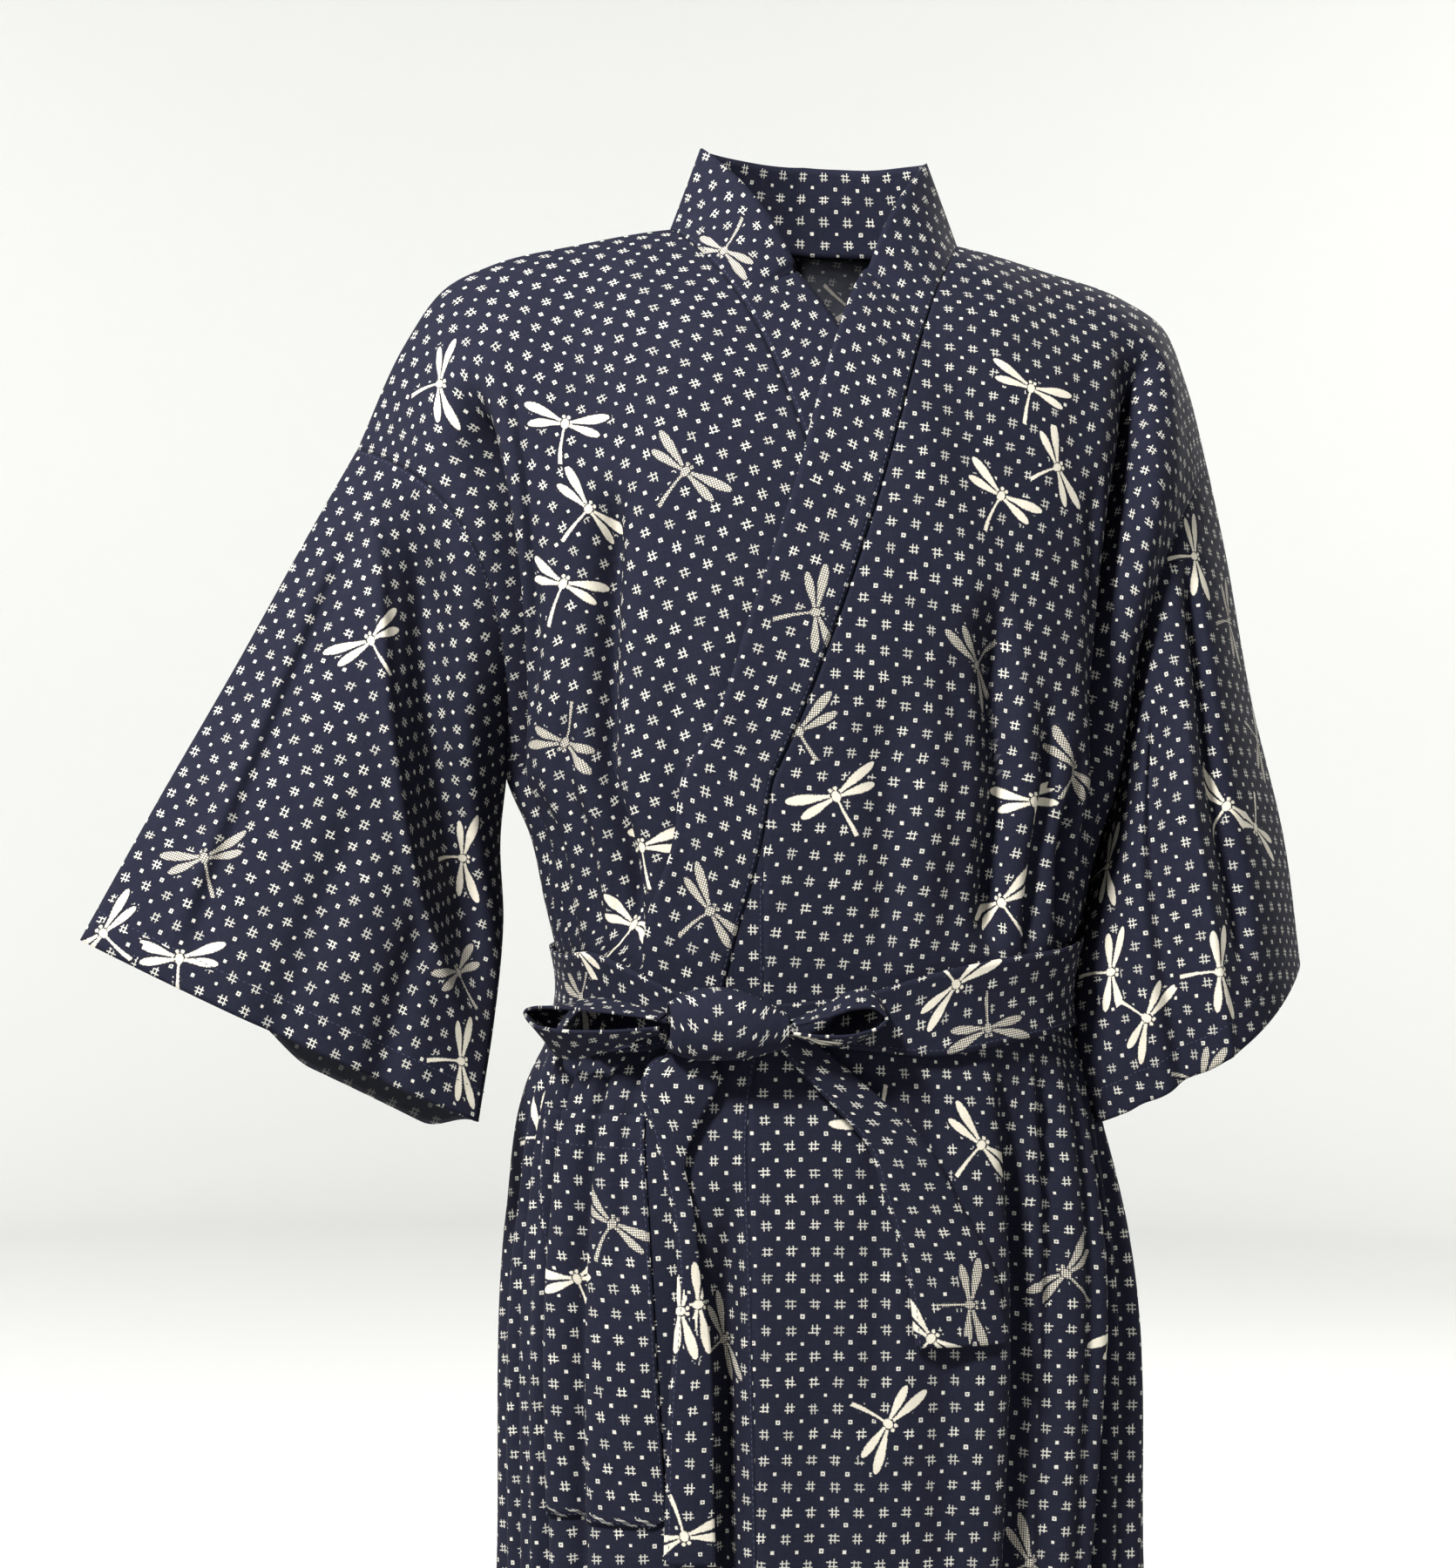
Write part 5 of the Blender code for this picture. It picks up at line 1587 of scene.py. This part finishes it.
@dataclass
class Sleeve(Panel):
    """A wide sleeve as a tube from the armhole to the cuff.

    Columns of rows: share of the way to the cuff, top fold x, y, z, bottom fold x, y, z, front swell, back
    swell. Columns of folds: layer (-1 front, 1 back), share of the way to the cuff where the fold starts
    and ends, share from top fold to bottom fold at both ends, width, depth.
    """

    side: Side = Side.LEFT
    rows: Rows = ()
    folds: Rows = ()
    back_drop: float = 0.0
    rings: int = 90
    round_steps: int = 100

    def weave_of(self, points: np.ndarray, layer: np.ndarray) -> np.ndarray:
        """Metres along the top fold and round the sleeve from it, the cloth joined at the bottom fold.

        Args:
            points: rings by places round the sleeve, the first place repeated at the end.
            layer: -1 on the front, 1 on the back, for each place round the sleeve.

        Returns:
            The two numbers for each point.
        """
        fold = points[-1, self.round_steps - 1] - points[0, self.round_steps - 1]
        ahead = unit(fold[[0, 2]])
        beside = np.array([-ahead[1], ahead[0]]) * self.side.value
        plane = points[..., [0, 2]] - points[0, self.round_steps - 1, [0, 2]]
        guess = np.stack([self.side.value * (plane @ ahead), layer * (plane @ beside)], -1)
        return Flattener(rows=24, columns=50).flat(points, guess)

    def cloth(self) -> Cloth:
        """Lays out the tube of the sleeve and presses its folds in.

        Returns:
            Rows from the armhole to the cuff, columns from the bottom fold up the front and down the back.
        """
        q = np.linspace(0, 1, self.round_steps)
        share = np.concatenate([q[::-1], q[1:-1]])
        layer = np.concatenate([-np.ones(len(q)), np.ones(len(q) - 2)])
        w = np.linspace(0, 1, self.rings)[:, None]
        row = along(self.rows, w + 0 * share)
        top, bottom = row[..., 0:3], row[..., 3:6]
        swell = np.where(layer < 0, row[..., 6], row[..., 7]) * armhole_swell(share)
        points = top + (bottom - top) * share[:, None]
        points[..., 1] += layer * swell
        ring = FORM.smooth(self.side.value * (1 + layer * BESIDE), share)
        points += ((1 - w) ** 2)[..., None] * (ring - points[0])
        for face, start, stop, from_q, to_q, wide, deep in self.folds:
            at = from_q + (to_q - from_q) * (w - start) / (stop - start)
            across = np.exp(-(((share - at) / wide) ** 2)) * (layer == face)
            reach = ease(start, start + 0.2, w) * (1 - ease(stop - 0.2, stop, w)) * ease(0.0, 0.15, w)
            beside_folds = ease(0.0, 0.06, share) * ease(1.0, 0.8, share)
            points[..., 1] -= face * deep * across * reach * beside_folds
        hang = ease(0.40, 0.58, share) * ease(1.0, 0.86, share) * (layer > 0)
        points[..., 2] -= self.back_drop * hang * ease(0.7, 1.0, w)
        weave = self.weave_of(np.concatenate([points, points[:, :1]], 1), np.append(layer, 1.0))
        return Cloth(points, weave, closed=True).turned_out(points.mean(1, keepdims=True))


@dataclass
class Pocket(Panel):
    """The patch pocket on the right front. Columns of rows: v, c of the right edge, c of the left edge."""

    rows: Rows = (
        (1.199, -0.790, -0.392),
        (1.250, -0.745, -0.366),
        (1.310, -0.700, -0.342),
        (1.370, -0.676, -0.326),
        (1.436, -0.660, -0.312),
    )
    out: float = 0.0022
    columns: int = 40
    lines: int = 50
    corner: float = 0.006
    round_in: float = 0.028

    def cloth(self) -> Cloth:
        """Lays out the pocket with its rounded lower corners.

        Returns:
            Rows from the pocket's mouth down, columns from the right edge to the left edge.
        """
        v = np.linspace(self.rows[0][0], self.rows[-1][0], self.lines)
        edges = along(self.rows, v)
        low = 1 - np.clip((self.rows[-1][0] - v) / self.corner, 0, 1)
        pull = self.round_in * (1 - np.sqrt(np.clip(1 - low**2, 0, 1)))
        t = np.linspace(0, 1, self.columns)
        c = (edges[:, :1] + pull[:, None]) * (1 - t) + (edges[:, 1:] - pull[:, None]) * t
        rows_v = v[:, None] + 0 * c
        points = FORM.cloth(c, rows_v, Side.RIGHT, self.out)
        down = 0 * c + (z_of(v[0]) - z_of(v))[:, None]
        across = arc(points, 1)
        return Cloth(points, np.stack([across, down + 0.005], -1), FORM.normals(c, rows_v, Side.RIGHT))


@dataclass
class Belt(Panel):
    """The belt round the waist. Columns of rows: c, top z, bottom z, distance out from the form."""

    rows: Rows = (
        (-0.215, -0.479, -0.503, 0.0125),
        (-0.330, -0.476, -0.504, 0.0125),
        (-0.420, -0.466, -0.511, 0.0125),
        (-0.490, -0.458, -0.513, 0.0120),
        (-0.600, -0.452, -0.513, 0.0064),
        (-0.850, -0.455, -0.513, 0.0036),
        (-1.200, -0.452, -0.511, 0.0036),
        (-2.000, -0.448, -0.507, 0.0040),
        (-2.800, -0.446, -0.505, 0.0036),
        (-3.350, -0.443, -0.499, 0.0060),
        (-3.500, -0.446, -0.501, 0.0115),
        (-3.650, -0.450, -0.505, 0.0120),
        (-3.850, -0.461, -0.512, 0.0125),
        (-3.970, -0.472, -0.508, 0.0125),
        (-4.170, -0.480, -0.503, 0.0125),
    )
    steps: int = 420
    columns: int = 16

    def cloth(self) -> Cloth:
        """Lays out the belt.

        Returns:
            Rows across the belt from its upper edge, columns round the waist.
        """
        c = np.linspace(self.rows[0][0], self.rows[-1][0], self.steps)
        row = along(self.rows, c)
        w = np.linspace(0, 1, self.columns)[:, None]
        z = row[:, 0] * (1 - w) + row[:, 1] * w
        points = FORM.off(c + 0 * z, v_of(z), row[:, 2] + 0 * z)
        across = arc(points, 0)
        down = arc(points[self.columns // 2 : self.columns // 2 + 1], 1) + 0 * across
        return Cloth(points, np.stack([across, down], -1)).turned_out(np.array([0.0, 0.0, BELT_Z]))


@dataclass
class Tail(Panel):
    """A free end of the belt. Columns of rows: v, c of the right edge, c of the left edge, distance out."""

    rows: Rows = ()
    bow: float = 0.0020
    lines: int = 90
    columns: int = 14
    inside: Spot = (0.0, 0.2, -0.6)

    def cloth(self) -> Cloth:
        """Lays out the tail.

        Returns:
            Rows down the tail, columns across it.
        """
        v = np.linspace(self.rows[0][0], self.rows[-1][0], self.lines)[:, None]
        row = along(self.rows, v[:, 0])
        w = np.linspace(0, 1, self.columns)
        c = row[:, :1] * (1 - w) + row[:, 1:2] * w
        out = row[:, 2:] + self.bow * (1 - (2 * w - 1) ** 2)
        points = FORM.off(c, v + 0 * c, out)
        across = arc(points, 1)
        down = arc(points[:, self.columns // 2 : self.columns // 2 + 1], 0) + 0 * across
        return Cloth(points, np.stack([across, down], -1)).turned_out(np.array(self.inside))


@dataclass
class BowLoop(Panel):
    """A loop of the bow, a band bent round with its mouth to the front.

    Columns of rows: share of the way round the loop from the lower end to the upper end, c, z.
    """

    rows: Rows = ()
    knot_lift: float = 0.02
    far_lift: float = 0.01
    wide: float = 0.026
    knot_band: float = 0.015
    mouth_close: float = 0.42
    mouth_short: float = 0.07
    lines: int = 120
    columns: int = 14

    def cloth(self) -> Cloth:
        """Bends the band round into the loop.

        Returns:
            Rows round the loop, columns from the inner edge to the mouth.
        """
        c, z = np.moveaxis(along(self.rows, np.linspace(0, 1, self.lines)), -1, 0)
        near_c, far_c = c[0], c[np.argmax(np.abs(c - c[0]))]
        reach = (c - near_c) / (far_c - near_c)
        mid_z = (z[0] + z[-1]) / 2 * (1 - reach) + (z.max() + z.min()) / 2 * reach
        w = np.linspace(0, 1, self.columns)
        mouth_z = z[:, None] + (mid_z - z)[:, None] * self.mouth_close * w
        mouth_c = c[:, None] + (near_c - c)[:, None] * self.mouth_short * w
        inner = self.knot_lift + (self.far_lift - self.knot_lift) * ease(0, 0.6, reach)
        width = self.knot_band + (self.wide - self.knot_band) * ease(0, 0.6, reach)
        out = inner[:, None] + width[:, None] * w
        points = FORM.off(mouth_c, v_of(mouth_z), out)
        across = arc(points, 1)
        down = arc(points[:, :1], 0) + 0 * across
        return Cloth(points, np.stack([across, down], -1)).turned_out(points.mean((0, 1)))


@dataclass
class Knot(Panel):
    """The wrap of the knot. Columns of rows: x, middle z, half height, half depth."""

    rows: Rows = (
        (-0.1085, -0.4920, 0.0130, 0.0090),
        (-0.1050, -0.4918, 0.0155, 0.0112),
        (-0.0960, -0.4910, 0.0190, 0.0130),
        (-0.0780, -0.4900, 0.0205, 0.0142),
        (-0.0600, -0.4915, 0.0170, 0.0130),
        (-0.0470, -0.4930, 0.0115, 0.0105),
        (-0.0410, -0.4935, 0.0090, 0.0088),
    )
    lift: float = 0.0290
    ends_c: tuple[float, float] = (-0.372, -0.132)
    lines: int = 60
    sides: int = 96

    def cloth(self) -> Cloth:
        """Lays out the wrap.

        Returns:
            Rows along x, columns round the wrap.
        """
        x = np.linspace(self.rows[0][0], self.rows[-1][0], self.lines)
        mid_z, half_z, half_y = np.moveaxis(along(self.rows, x), -1, 0)
        turn = np.linspace(0, 2 * math.pi, self.sides, endpoint=False)
        c = np.interp(x, (self.rows[0][0], self.rows[-1][0]), self.ends_c)
        centre = FORM.off(c, v_of(mid_z), self.lift + 0 * c)
        y = centre[:, 1, None] + half_y[:, None] * np.sin(turn)
        z = mid_z[:, None] + half_z[:, None] * np.cos(turn)
        points = np.stack([x[:, None] + 0 * y, y, z], -1)
        closed = np.concatenate([points, points[:, :1]], 1)
        down = soften(arc(closed, 1), 3)
        across = arc(points[:, :1], 0) + 0 * down
        sheet = Cloth(points, np.stack([across, down], -1), closed=True)
        return sheet.turned_out(points.mean(1, keepdims=True))


@dataclass
class Studio:
    """Pale floor and backdrop, soft lights and the camera of the photograph."""

    distance: float = 1.8
    azimuth: float = -11.0
    height: float = -0.35
    focal_px: float = 3240.0
    axis_px: float = 94.5
    roll: float = 0.6
    frame_px: float = 1800.0
    sensor: float = 36.0
    floor_z: float = -1.372
    reach: float = 6.0
    bend: float = 1.2
    wall: float = 3.4
    pale: Colour = (0.62, 0.625, 0.615)
    paper_roughness: float = 0.9
    paper_gloss: float = 0.1
    room_light: float = 0.05
    room_tint: Colour = (1.0, 1.0, 0.99)
    paper_tint: Colour = (1.0, 1.0, 0.985)

    def camera(self) -> None:
        """The camera of the photograph."""
        turn = math.radians(self.azimuth)
        view = Vector((-math.sin(turn), math.cos(turn), 0.0))
        place = -self.distance * view + Vector((0.0, 0.0, self.height))
        yaw = math.atan(self.axis_px / self.focal_px)
        right = Vector((view.y, -view.x, 0.0))
        ahead = view * math.cos(yaw) - right * math.sin(yaw)
        right = Vector((ahead.y, -ahead.x, 0.0))
        up = Vector((0.0, 0.0, 1.0))
        tilt = math.radians(self.roll)
        across = right * math.cos(tilt) + up * math.sin(tilt)
        upward = up * math.cos(tilt) - right * math.sin(tilt)
        data = bpy.data.cameras.new("photo_camera")
        data.sensor_width = self.sensor
        data.lens = self.focal_px * self.sensor / self.frame_px
        data.clip_start = 0.05
        matrix = Matrix((across, upward, -ahead)).transposed().to_4x4()
        matrix.translation = place
        camera = put_in_scene("photo_camera", data)
        camera.matrix_world = matrix
        bpy.context.scene.camera = camera

    def backdrop(self) -> None:
        """A floor that bends up into a wall behind the garment, all round."""
        angles = np.linspace(0, math.pi / 2, 24)
        radius = [*(self.reach - self.bend + self.bend * np.sin(angles)), self.reach]
        height = [*(self.floor_z + self.bend - self.bend * np.cos(angles)), self.floor_z + self.wall]
        around = np.linspace(0, 2 * math.pi, 96, endpoint=False)
        points = [(0.0, 0.0, self.floor_z)]
        for r, z in zip(radius, height):
            points += [(r * math.cos(a), r * math.sin(a), z) for a in around]
        count = len(around)
        faces = [(0, 1 + k, 1 + (k + 1) % count) for k in range(count)]
        for ring in range(len(radius) - 1):
            low, high = 1 + ring * count, 1 + (ring + 1) * count
            for k in range(count):
                n = (k + 1) % count
                faces.append((low + k, high + k, high + n, low + n))
        mesh = bpy.data.meshes.new("studio_floor")
        mesh.from_pydata(points, [], faces)
        mesh.shade_smooth()
        paper, nodes = new_material("backdrop_paper")
        nodes.shade({
            "Base Color": (*self.pale, 1.0),
            "Roughness": self.paper_roughness,
            "Specular IOR Level": self.paper_gloss,
        })
        mesh.materials.append(paper)
        floor = put_in_scene("studio_floor", mesh)

    def lamp(self, name: str, place: Spot, aim: Spot, size: float, power: float, tint: Colour) -> None:
        """Hangs a square soft light.

        Args:
            name: name of the light.
            place: where it hangs.
            aim: the point that it faces.
            size: length of its side.
            power: watts.
            tint: colour of its light.
        """
        data = bpy.data.lights.new(name, "AREA")
        data.shape = "SQUARE"
        data.size = size
        data.energy = power
        data.color = tint
        lamp = put_in_scene(name, data)
        lamp.location = place
        lamp.rotation_euler = (Vector(aim) - Vector(place)).to_track_quat("-Z", "Y").to_euler()

    def light(self) -> None:
        """The lamps and the even light of the room."""
        chest, paper = (0.0, 0.0, -0.45), (0.0, 6.0, -0.6)
        self.lamp("key_light", (-1.25, -1.35, 1.25), chest, 0.4, 142.0, (1.0, 0.985, 0.96))
        self.lamp("fill_light", (2.2, -2.2, 0.4), chest, 1.6, 7.0, (0.95, 0.97, 1.0))
        self.lamp("back_light", (1.8, 1.8, 1.1), chest, 0.6, 60.0, (1.0, 0.99, 0.97))
        self.lamp("front_paper_light", (0.0, -2.6, 2.6), (0.0, -6.0, 0.0), 2.4, 40.0, self.paper_tint)
        self.lamp("paper_light_left", (3.4, 1.6, 1.8), paper, 2.4, 168.0, self.paper_tint)
        self.lamp("paper_light_right", (-3.4, 1.6, 1.8), paper, 2.4, 218.0, self.paper_tint)
        world = bpy.data.worlds.new("studio_room")
        world.use_nodes = True
        ground = world.node_tree.nodes["Background"]
        ground.inputs["Color"].default_value = (*self.room_tint, 1.0)
        ground.inputs["Strength"].default_value = self.room_light
        bpy.context.scene.world = world
        bpy.context.scene.view_settings.view_transform = "Standard"

    def build(self) -> None:
        """Sets up the camera, the backdrop and the lights."""
        self.camera()
        self.backdrop()
        self.light()
        log.info("studio ready")


SLEEVE_RIGHT: Rows = (
    (0.00, -0.288, 0.000, -0.145, -0.194, 0.000, -0.345, 0.058, 0.058),
    (0.20, -0.318, -0.008, -0.200, -0.197, 0.008, -0.386, 0.058, 0.046),
    (0.45, -0.360, -0.020, -0.280, -0.195, 0.004, -0.438, 0.058, 0.040),
    (0.72, -0.406, -0.035, -0.364, -0.202, -0.024, -0.494, 0.052, 0.038),
    (1.00, -0.450, -0.050, -0.447, -0.214, -0.058, -0.556, 0.034, 0.040),
)
SLEEVE_LEFT: Rows = (
    (0.00, 0.262, 0.000, -0.145, 0.196, 0.000, -0.345, 0.058, 0.058),
    (0.20, 0.274, -0.002, -0.200, 0.184, -0.020, -0.392, 0.062, 0.056),
    (0.45, 0.290, -0.006, -0.290, 0.163, -0.042, -0.450, 0.070, 0.056),
    (0.72, 0.311, -0.012, -0.380, 0.159, -0.056, -0.508, 0.074, 0.060),
    (1.00, 0.321, -0.018, -0.462, 0.173, -0.060, -0.560, 0.072, 0.062),
)
SLEEVE_FOLDS_BACK: Rows = (
    (1, 0.00, 0.80, 0.50, 0.60, 0.080, 0.010),
    (1, 0.20, 1.20, 0.25, 0.30, 0.080, 0.007),
)
SLEEVE_FOLDS_RIGHT: Rows = (
    (-1, -0.20, 0.95, 0.02, 1.30, 0.130, 0.030),
    (-1, 0.02, 0.85, 0.04, 1.00, 0.035, -0.007),
    (-1, 0.10, 1.00, 0.07, 0.20, 0.020, -0.004),
    (-1, 0.10, 1.00, 0.11, 0.25, 0.030, 0.005),
    (-1, 0.45, 1.20, 0.46, 0.50, 0.060, 0.006),
    (-1, 0.55, 1.20, 0.72, 0.76, 0.045, 0.007),
    *SLEEVE_FOLDS_BACK,
)
SLEEVE_FOLDS_LEFT: Rows = (
    (-1, 0.00, 0.90, 0.34, 0.40, 0.050, 0.015),
    (-1, 0.10, 1.20, 0.64, 0.70, 0.060, 0.014),
    (-1, 0.20, 1.20, 0.84, 0.86, 0.040, 0.007),
    (-1, 0.20, 1.10, 0.48, 0.54, 0.024, -0.004),
    *SLEEVE_FOLDS_BACK,
)
LOOP_RIGHT: Rows = (
    (0.00, -0.384, -0.4990),
    (0.15, -0.510, -0.5120),
    (0.32, -0.650, -0.5200),
    (0.44, -0.755, -0.5160),
    (0.50, -0.800, -0.5040),
    (0.56, -0.755, -0.4900),
    (0.68, -0.650, -0.4810),
    (0.85, -0.510, -0.4800),
    (1.00, -0.384, -0.4860),
)
LOOP_LEFT: Rows = (
    (0.00, -0.1275, -0.4975),
    (0.18, -0.060, -0.5030),
    (0.36, 0.010, -0.5015),
    (0.46, 0.050, -0.4935),
    (0.52, 0.062, -0.4850),
    (0.60, 0.045, -0.4730),
    (0.72, 0.000, -0.4700),
    (0.86, -0.060, -0.4800),
    (1.00, -0.1275, -0.4895),
)
TAIL_LEFT: Rows = (
    (1.1510, -0.165, -0.092, 0.0167),
    (1.1660, -0.118, -0.030, 0.0160),
    (1.1880, -0.045, 0.050, 0.0130),
    (1.2120, 0.020, 0.122, 0.0108),
    (1.2450, 0.052, 0.172, 0.0103),
    (1.2850, 0.082, 0.226, 0.0103),
    (1.3320, 0.096, 0.250, 0.0103),
)
TAIL_RIGHT: Rows = (
    (1.1620, -0.355, -0.272, 0.0158),
    (1.1680, -0.390, -0.262, 0.0156),
    (1.1790, -0.405, -0.245, 0.0150),
    (1.2000, -0.375, -0.268, 0.0125),
    (1.2230, -0.340, -0.290, 0.0118),
    (1.2520, -0.312, -0.270, 0.0112),
    (1.2860, -0.294, -0.254, 0.0106),
    (1.3270, -0.296, -0.232, 0.0104),
    (1.3600, -0.304, -0.226, 0.0104),
    (1.4100, -0.310, -0.225, 0.0104),
    (1.4550, -0.314, -0.220, 0.0104),
)


PRINTS = {"cotton": "robe_cotton", "belt_cotton": "belt_cotton"}
SOLID, NET = Figure.SOLID, Figure.NET
FIGURES: dict[str, tuple[Motif, ...]] = {
    "body_right": (
        (-0.061, 0.047, 145, SOLID),
        (0.001, 0.125, 37, SOLID),
        (-0.009, 0.179, 70, SOLID),
        (-0.042, 0.213, 48, SOLID),
        (0.062, 0.186, 59, NET),
        (-0.078, 0.302, 223, NET),
        (-0.035, 0.386, 16, SOLID),
        (-0.071, 0.424, 40, SOLID),
        (-0.120, 0.563, 92, SOLID),
        (-0.061, 0.707, 341, SOLID),
    ),
    "pocket": ((0.049, 0.104, 346, SOLID), (0.092, 0.069, 34, NET)),
    "collar": ((-0.001, -0.165, 73, NET), (-0.004, 0.440, 65, NET), (-0.009, 0.628, 39, NET)),
    "body_left": (
        (-0.090, 0.110, 10, SOLID),
        (-0.066, 0.157, 59, SOLID),
        (-0.103, 0.184, 25, SOLID),
        (-0.111, 0.289, 232, NET),
        (-0.221, 0.339, 323, NET),
        (-0.193, 0.376, 331, SOLID),
        (-0.053, 0.362, 342, SOLID),
        (-0.060, 0.425, 317, SOLID),
        (-0.018, 0.334, 30, NET),
        (-0.082, 0.574, 45, SOLID),
        (-0.142, 0.739, 122, SOLID),
        (-0.003, 0.650, 317, NET),
        (0.042, 0.684, 320, SOLID),
        (-0.022, 0.825, 57, NET),
        (-0.148, 0.565, 199, SOLID),
    ),
    "okumi_left": ((-0.022, 0.304, 65, NET),),
    "sleeve_right": (
        (-0.114, 0.075, 35, SOLID),
        (-0.273, 0.042, 54, NET),
        (-0.333, 0.056, 69, SOLID),
        (-0.338, 0.004, 21, SOLID),
        (-0.184, 0.214, 150, SOLID),
        (-0.259, 0.229, 41, NET),
        (-0.312, 0.247, 159, SOLID),
    ),
    "sleeve_left": (
        (0.063, 0.068, 358, SOLID),
        (0.101, 0.028, 354, NET),
        (0.222, 0.073, 316, SOLID),
        (0.315, 0.188, 10, SOLID),
        (0.347, 0.167, 39, SOLID),
        (0.325, 0.113, 3, SOLID),
        (0.393, 0.134, 25, NET),
        (0.244, 0.186, 6, SOLID),
        (0.237, 0.048, 118, SOLID),
    ),
    "belt": (
        (-0.002, 0.118, 122, SOLID),
        (0.028, 0.122, 126, NET),
        (0.010, 0.814, 54, SOLID),
        (0.041, 0.793, 91, NET),
    ),
    "bow_loop_left": ((0.012, 0.010, 292, SOLID),),
    "tail_right": ((0.013, 0.151, 91, SOLID), (0.003, 0.155, 86, SOLID), (0.012, 0.286, 163, SOLID)),
    "tail_left": ((0.036, 0.197, 93, NET), (0.010, 0.216, 44, SOLID)),
}
# seed, then the lowest and highest metres across and down of the cloth that the photograph doesn't show
STREWN: dict[str, Rows] = {
    "body_right": ((11, -0.20, -1.36, 0.20, -0.04), (12, -0.20, 0.86, 0.20, 1.36)),
    "body_left": (
        (21, -0.20, -1.36, 0.20, -0.04),
        (22, -0.20, 0.88, 0.20, 1.36),
        (23, 0.09, 0.10, 0.20, 0.80),
    ),
    "okumi_left": ((31, -0.05, 0.50, 0.00, 0.98),),
    "okumi_right": ((32, 0.00, 0.10, 0.05, 0.98),),
    "sleeve_right": ((41, -0.34, -0.27, 0.00, -0.03),),
    "sleeve_left": ((51, 0.02, -0.22, 0.40, -0.03),),
    "belt": ((61, 0.00, 0.22, 0.05, 0.72),),
}


def panels() -> list[Panel]:
    """Lists the panels of the garment.

    Returns:
        Every panel, in the order in which it is built.
    """
    robe_right, robe_left = {"rests_on": ("body_right_cloth",)}, {"rests_on": ("body_left_cloth",)}
    sash = {"slot": "belt_cotton", "wall": 0.0018}
    wrap = {**sash, "held": "folded"}
    knotted = {"rests_on": ("belt_knot_cloth",)}
    top, end, first, last = Edge.FIRST_ROW, Edge.LAST_ROW, Edge.FIRST_COLUMN, Edge.LAST_COLUMN
    topstitch, hem = 0.0018, 0.018
    body_seams = (Seam(top, hem), Seam(end, hem))
    okumi_seams = (Seam(first, 0.0016, 0.03), Seam(last, 0.009, 0.22), Seam(end, hem))
    sleeve_seams = (Seam(end, 0.020), Seam(top, topstitch))
    pocket_seams = (Seam(top, 0.020), *(Seam(edge, topstitch) for edge in (first, last, end)))
    tail_seams = (Seam(first, 0.003),)
    return [
        BodyHalf("body_right", side=Side.RIGHT, flat=(0.43, 2.80), area=0.85, slant=10.0, seams=body_seams),
        Okumi("okumi_right", side=Side.RIGHT, flat=(0.052, 0.985), seams=okumi_seams, **robe_right),
        BodyHalf("body_left", side=Side.LEFT, flat=(0.43, 2.80), area=0.87, seams=body_seams, **robe_right),
        Okumi("okumi_left", side=Side.LEFT, flat=(0.05, 0.985), seams=okumi_seams, **robe_left),
        Collar("collar", wall=0.0022, flat=(0.052, 1.51), held="folded", seams=(Seam(first, topstitch),),
               **robe_left),
        Sleeve("sleeve_right", side=Side.RIGHT, flat=(0.55, 0.346), area=0.155, rows=SLEEVE_RIGHT,
               folds=SLEEVE_FOLDS_RIGHT, back_drop=0.017, seams=sleeve_seams, **robe_right),
        Sleeve("sleeve_left", side=Side.LEFT, flat=(0.51, 0.323), area=0.115, rows=SLEEVE_LEFT,
               folds=SLEEVE_FOLDS_LEFT, seams=sleeve_seams, **robe_left),
        Pocket("pocket", flat=(0.110, 0.241), seams=pocket_seams, **robe_right),
        Belt("belt", **wrap, flat=(0.055, 0.94), seams=(Seam(end, 0.0035),), **robe_left),
        BowLoop("bow_loop_right", **wrap, **knotted, flat=(0.026, 0.218), rows=LOOP_RIGHT,
                knot_lift=0.0205, far_lift=0.0100, wide=0.026),
        BowLoop("bow_loop_left", **wrap, **knotted, flat=(0.022, 0.138), rows=LOOP_LEFT,
                knot_lift=0.0220, far_lift=0.0170, wide=0.022),
        Tail("tail_right", **sash, **knotted, flat=(0.027, 0.30), rows=TAIL_RIGHT, seams=tail_seams),
        Tail("tail_left", **sash, **knotted, flat=(0.045, 0.20), rows=TAIL_LEFT, seams=tail_seams),
        Knot("belt_knot", **wrap, flat=(0.068, 0.10), rests_on=("belt_cloth",)),
    ]


def main() -> None:
    """Builds the garment and the studio."""
    logging.basicConfig(level=logging.INFO, format="%(name)s: %(message)s")
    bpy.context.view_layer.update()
    Studio().build()
    finishes = {slot: CottonPrint(name).build() for slot, name in PRINTS.items()}
    thread = Thread("navy_thread")
    kit = SewingKit(thread, thread.tree(), thread.finish())
    for panel in panels():
        panel.build(finishes[panel.slot], kit)


if __name__ == "__main__":
    main()
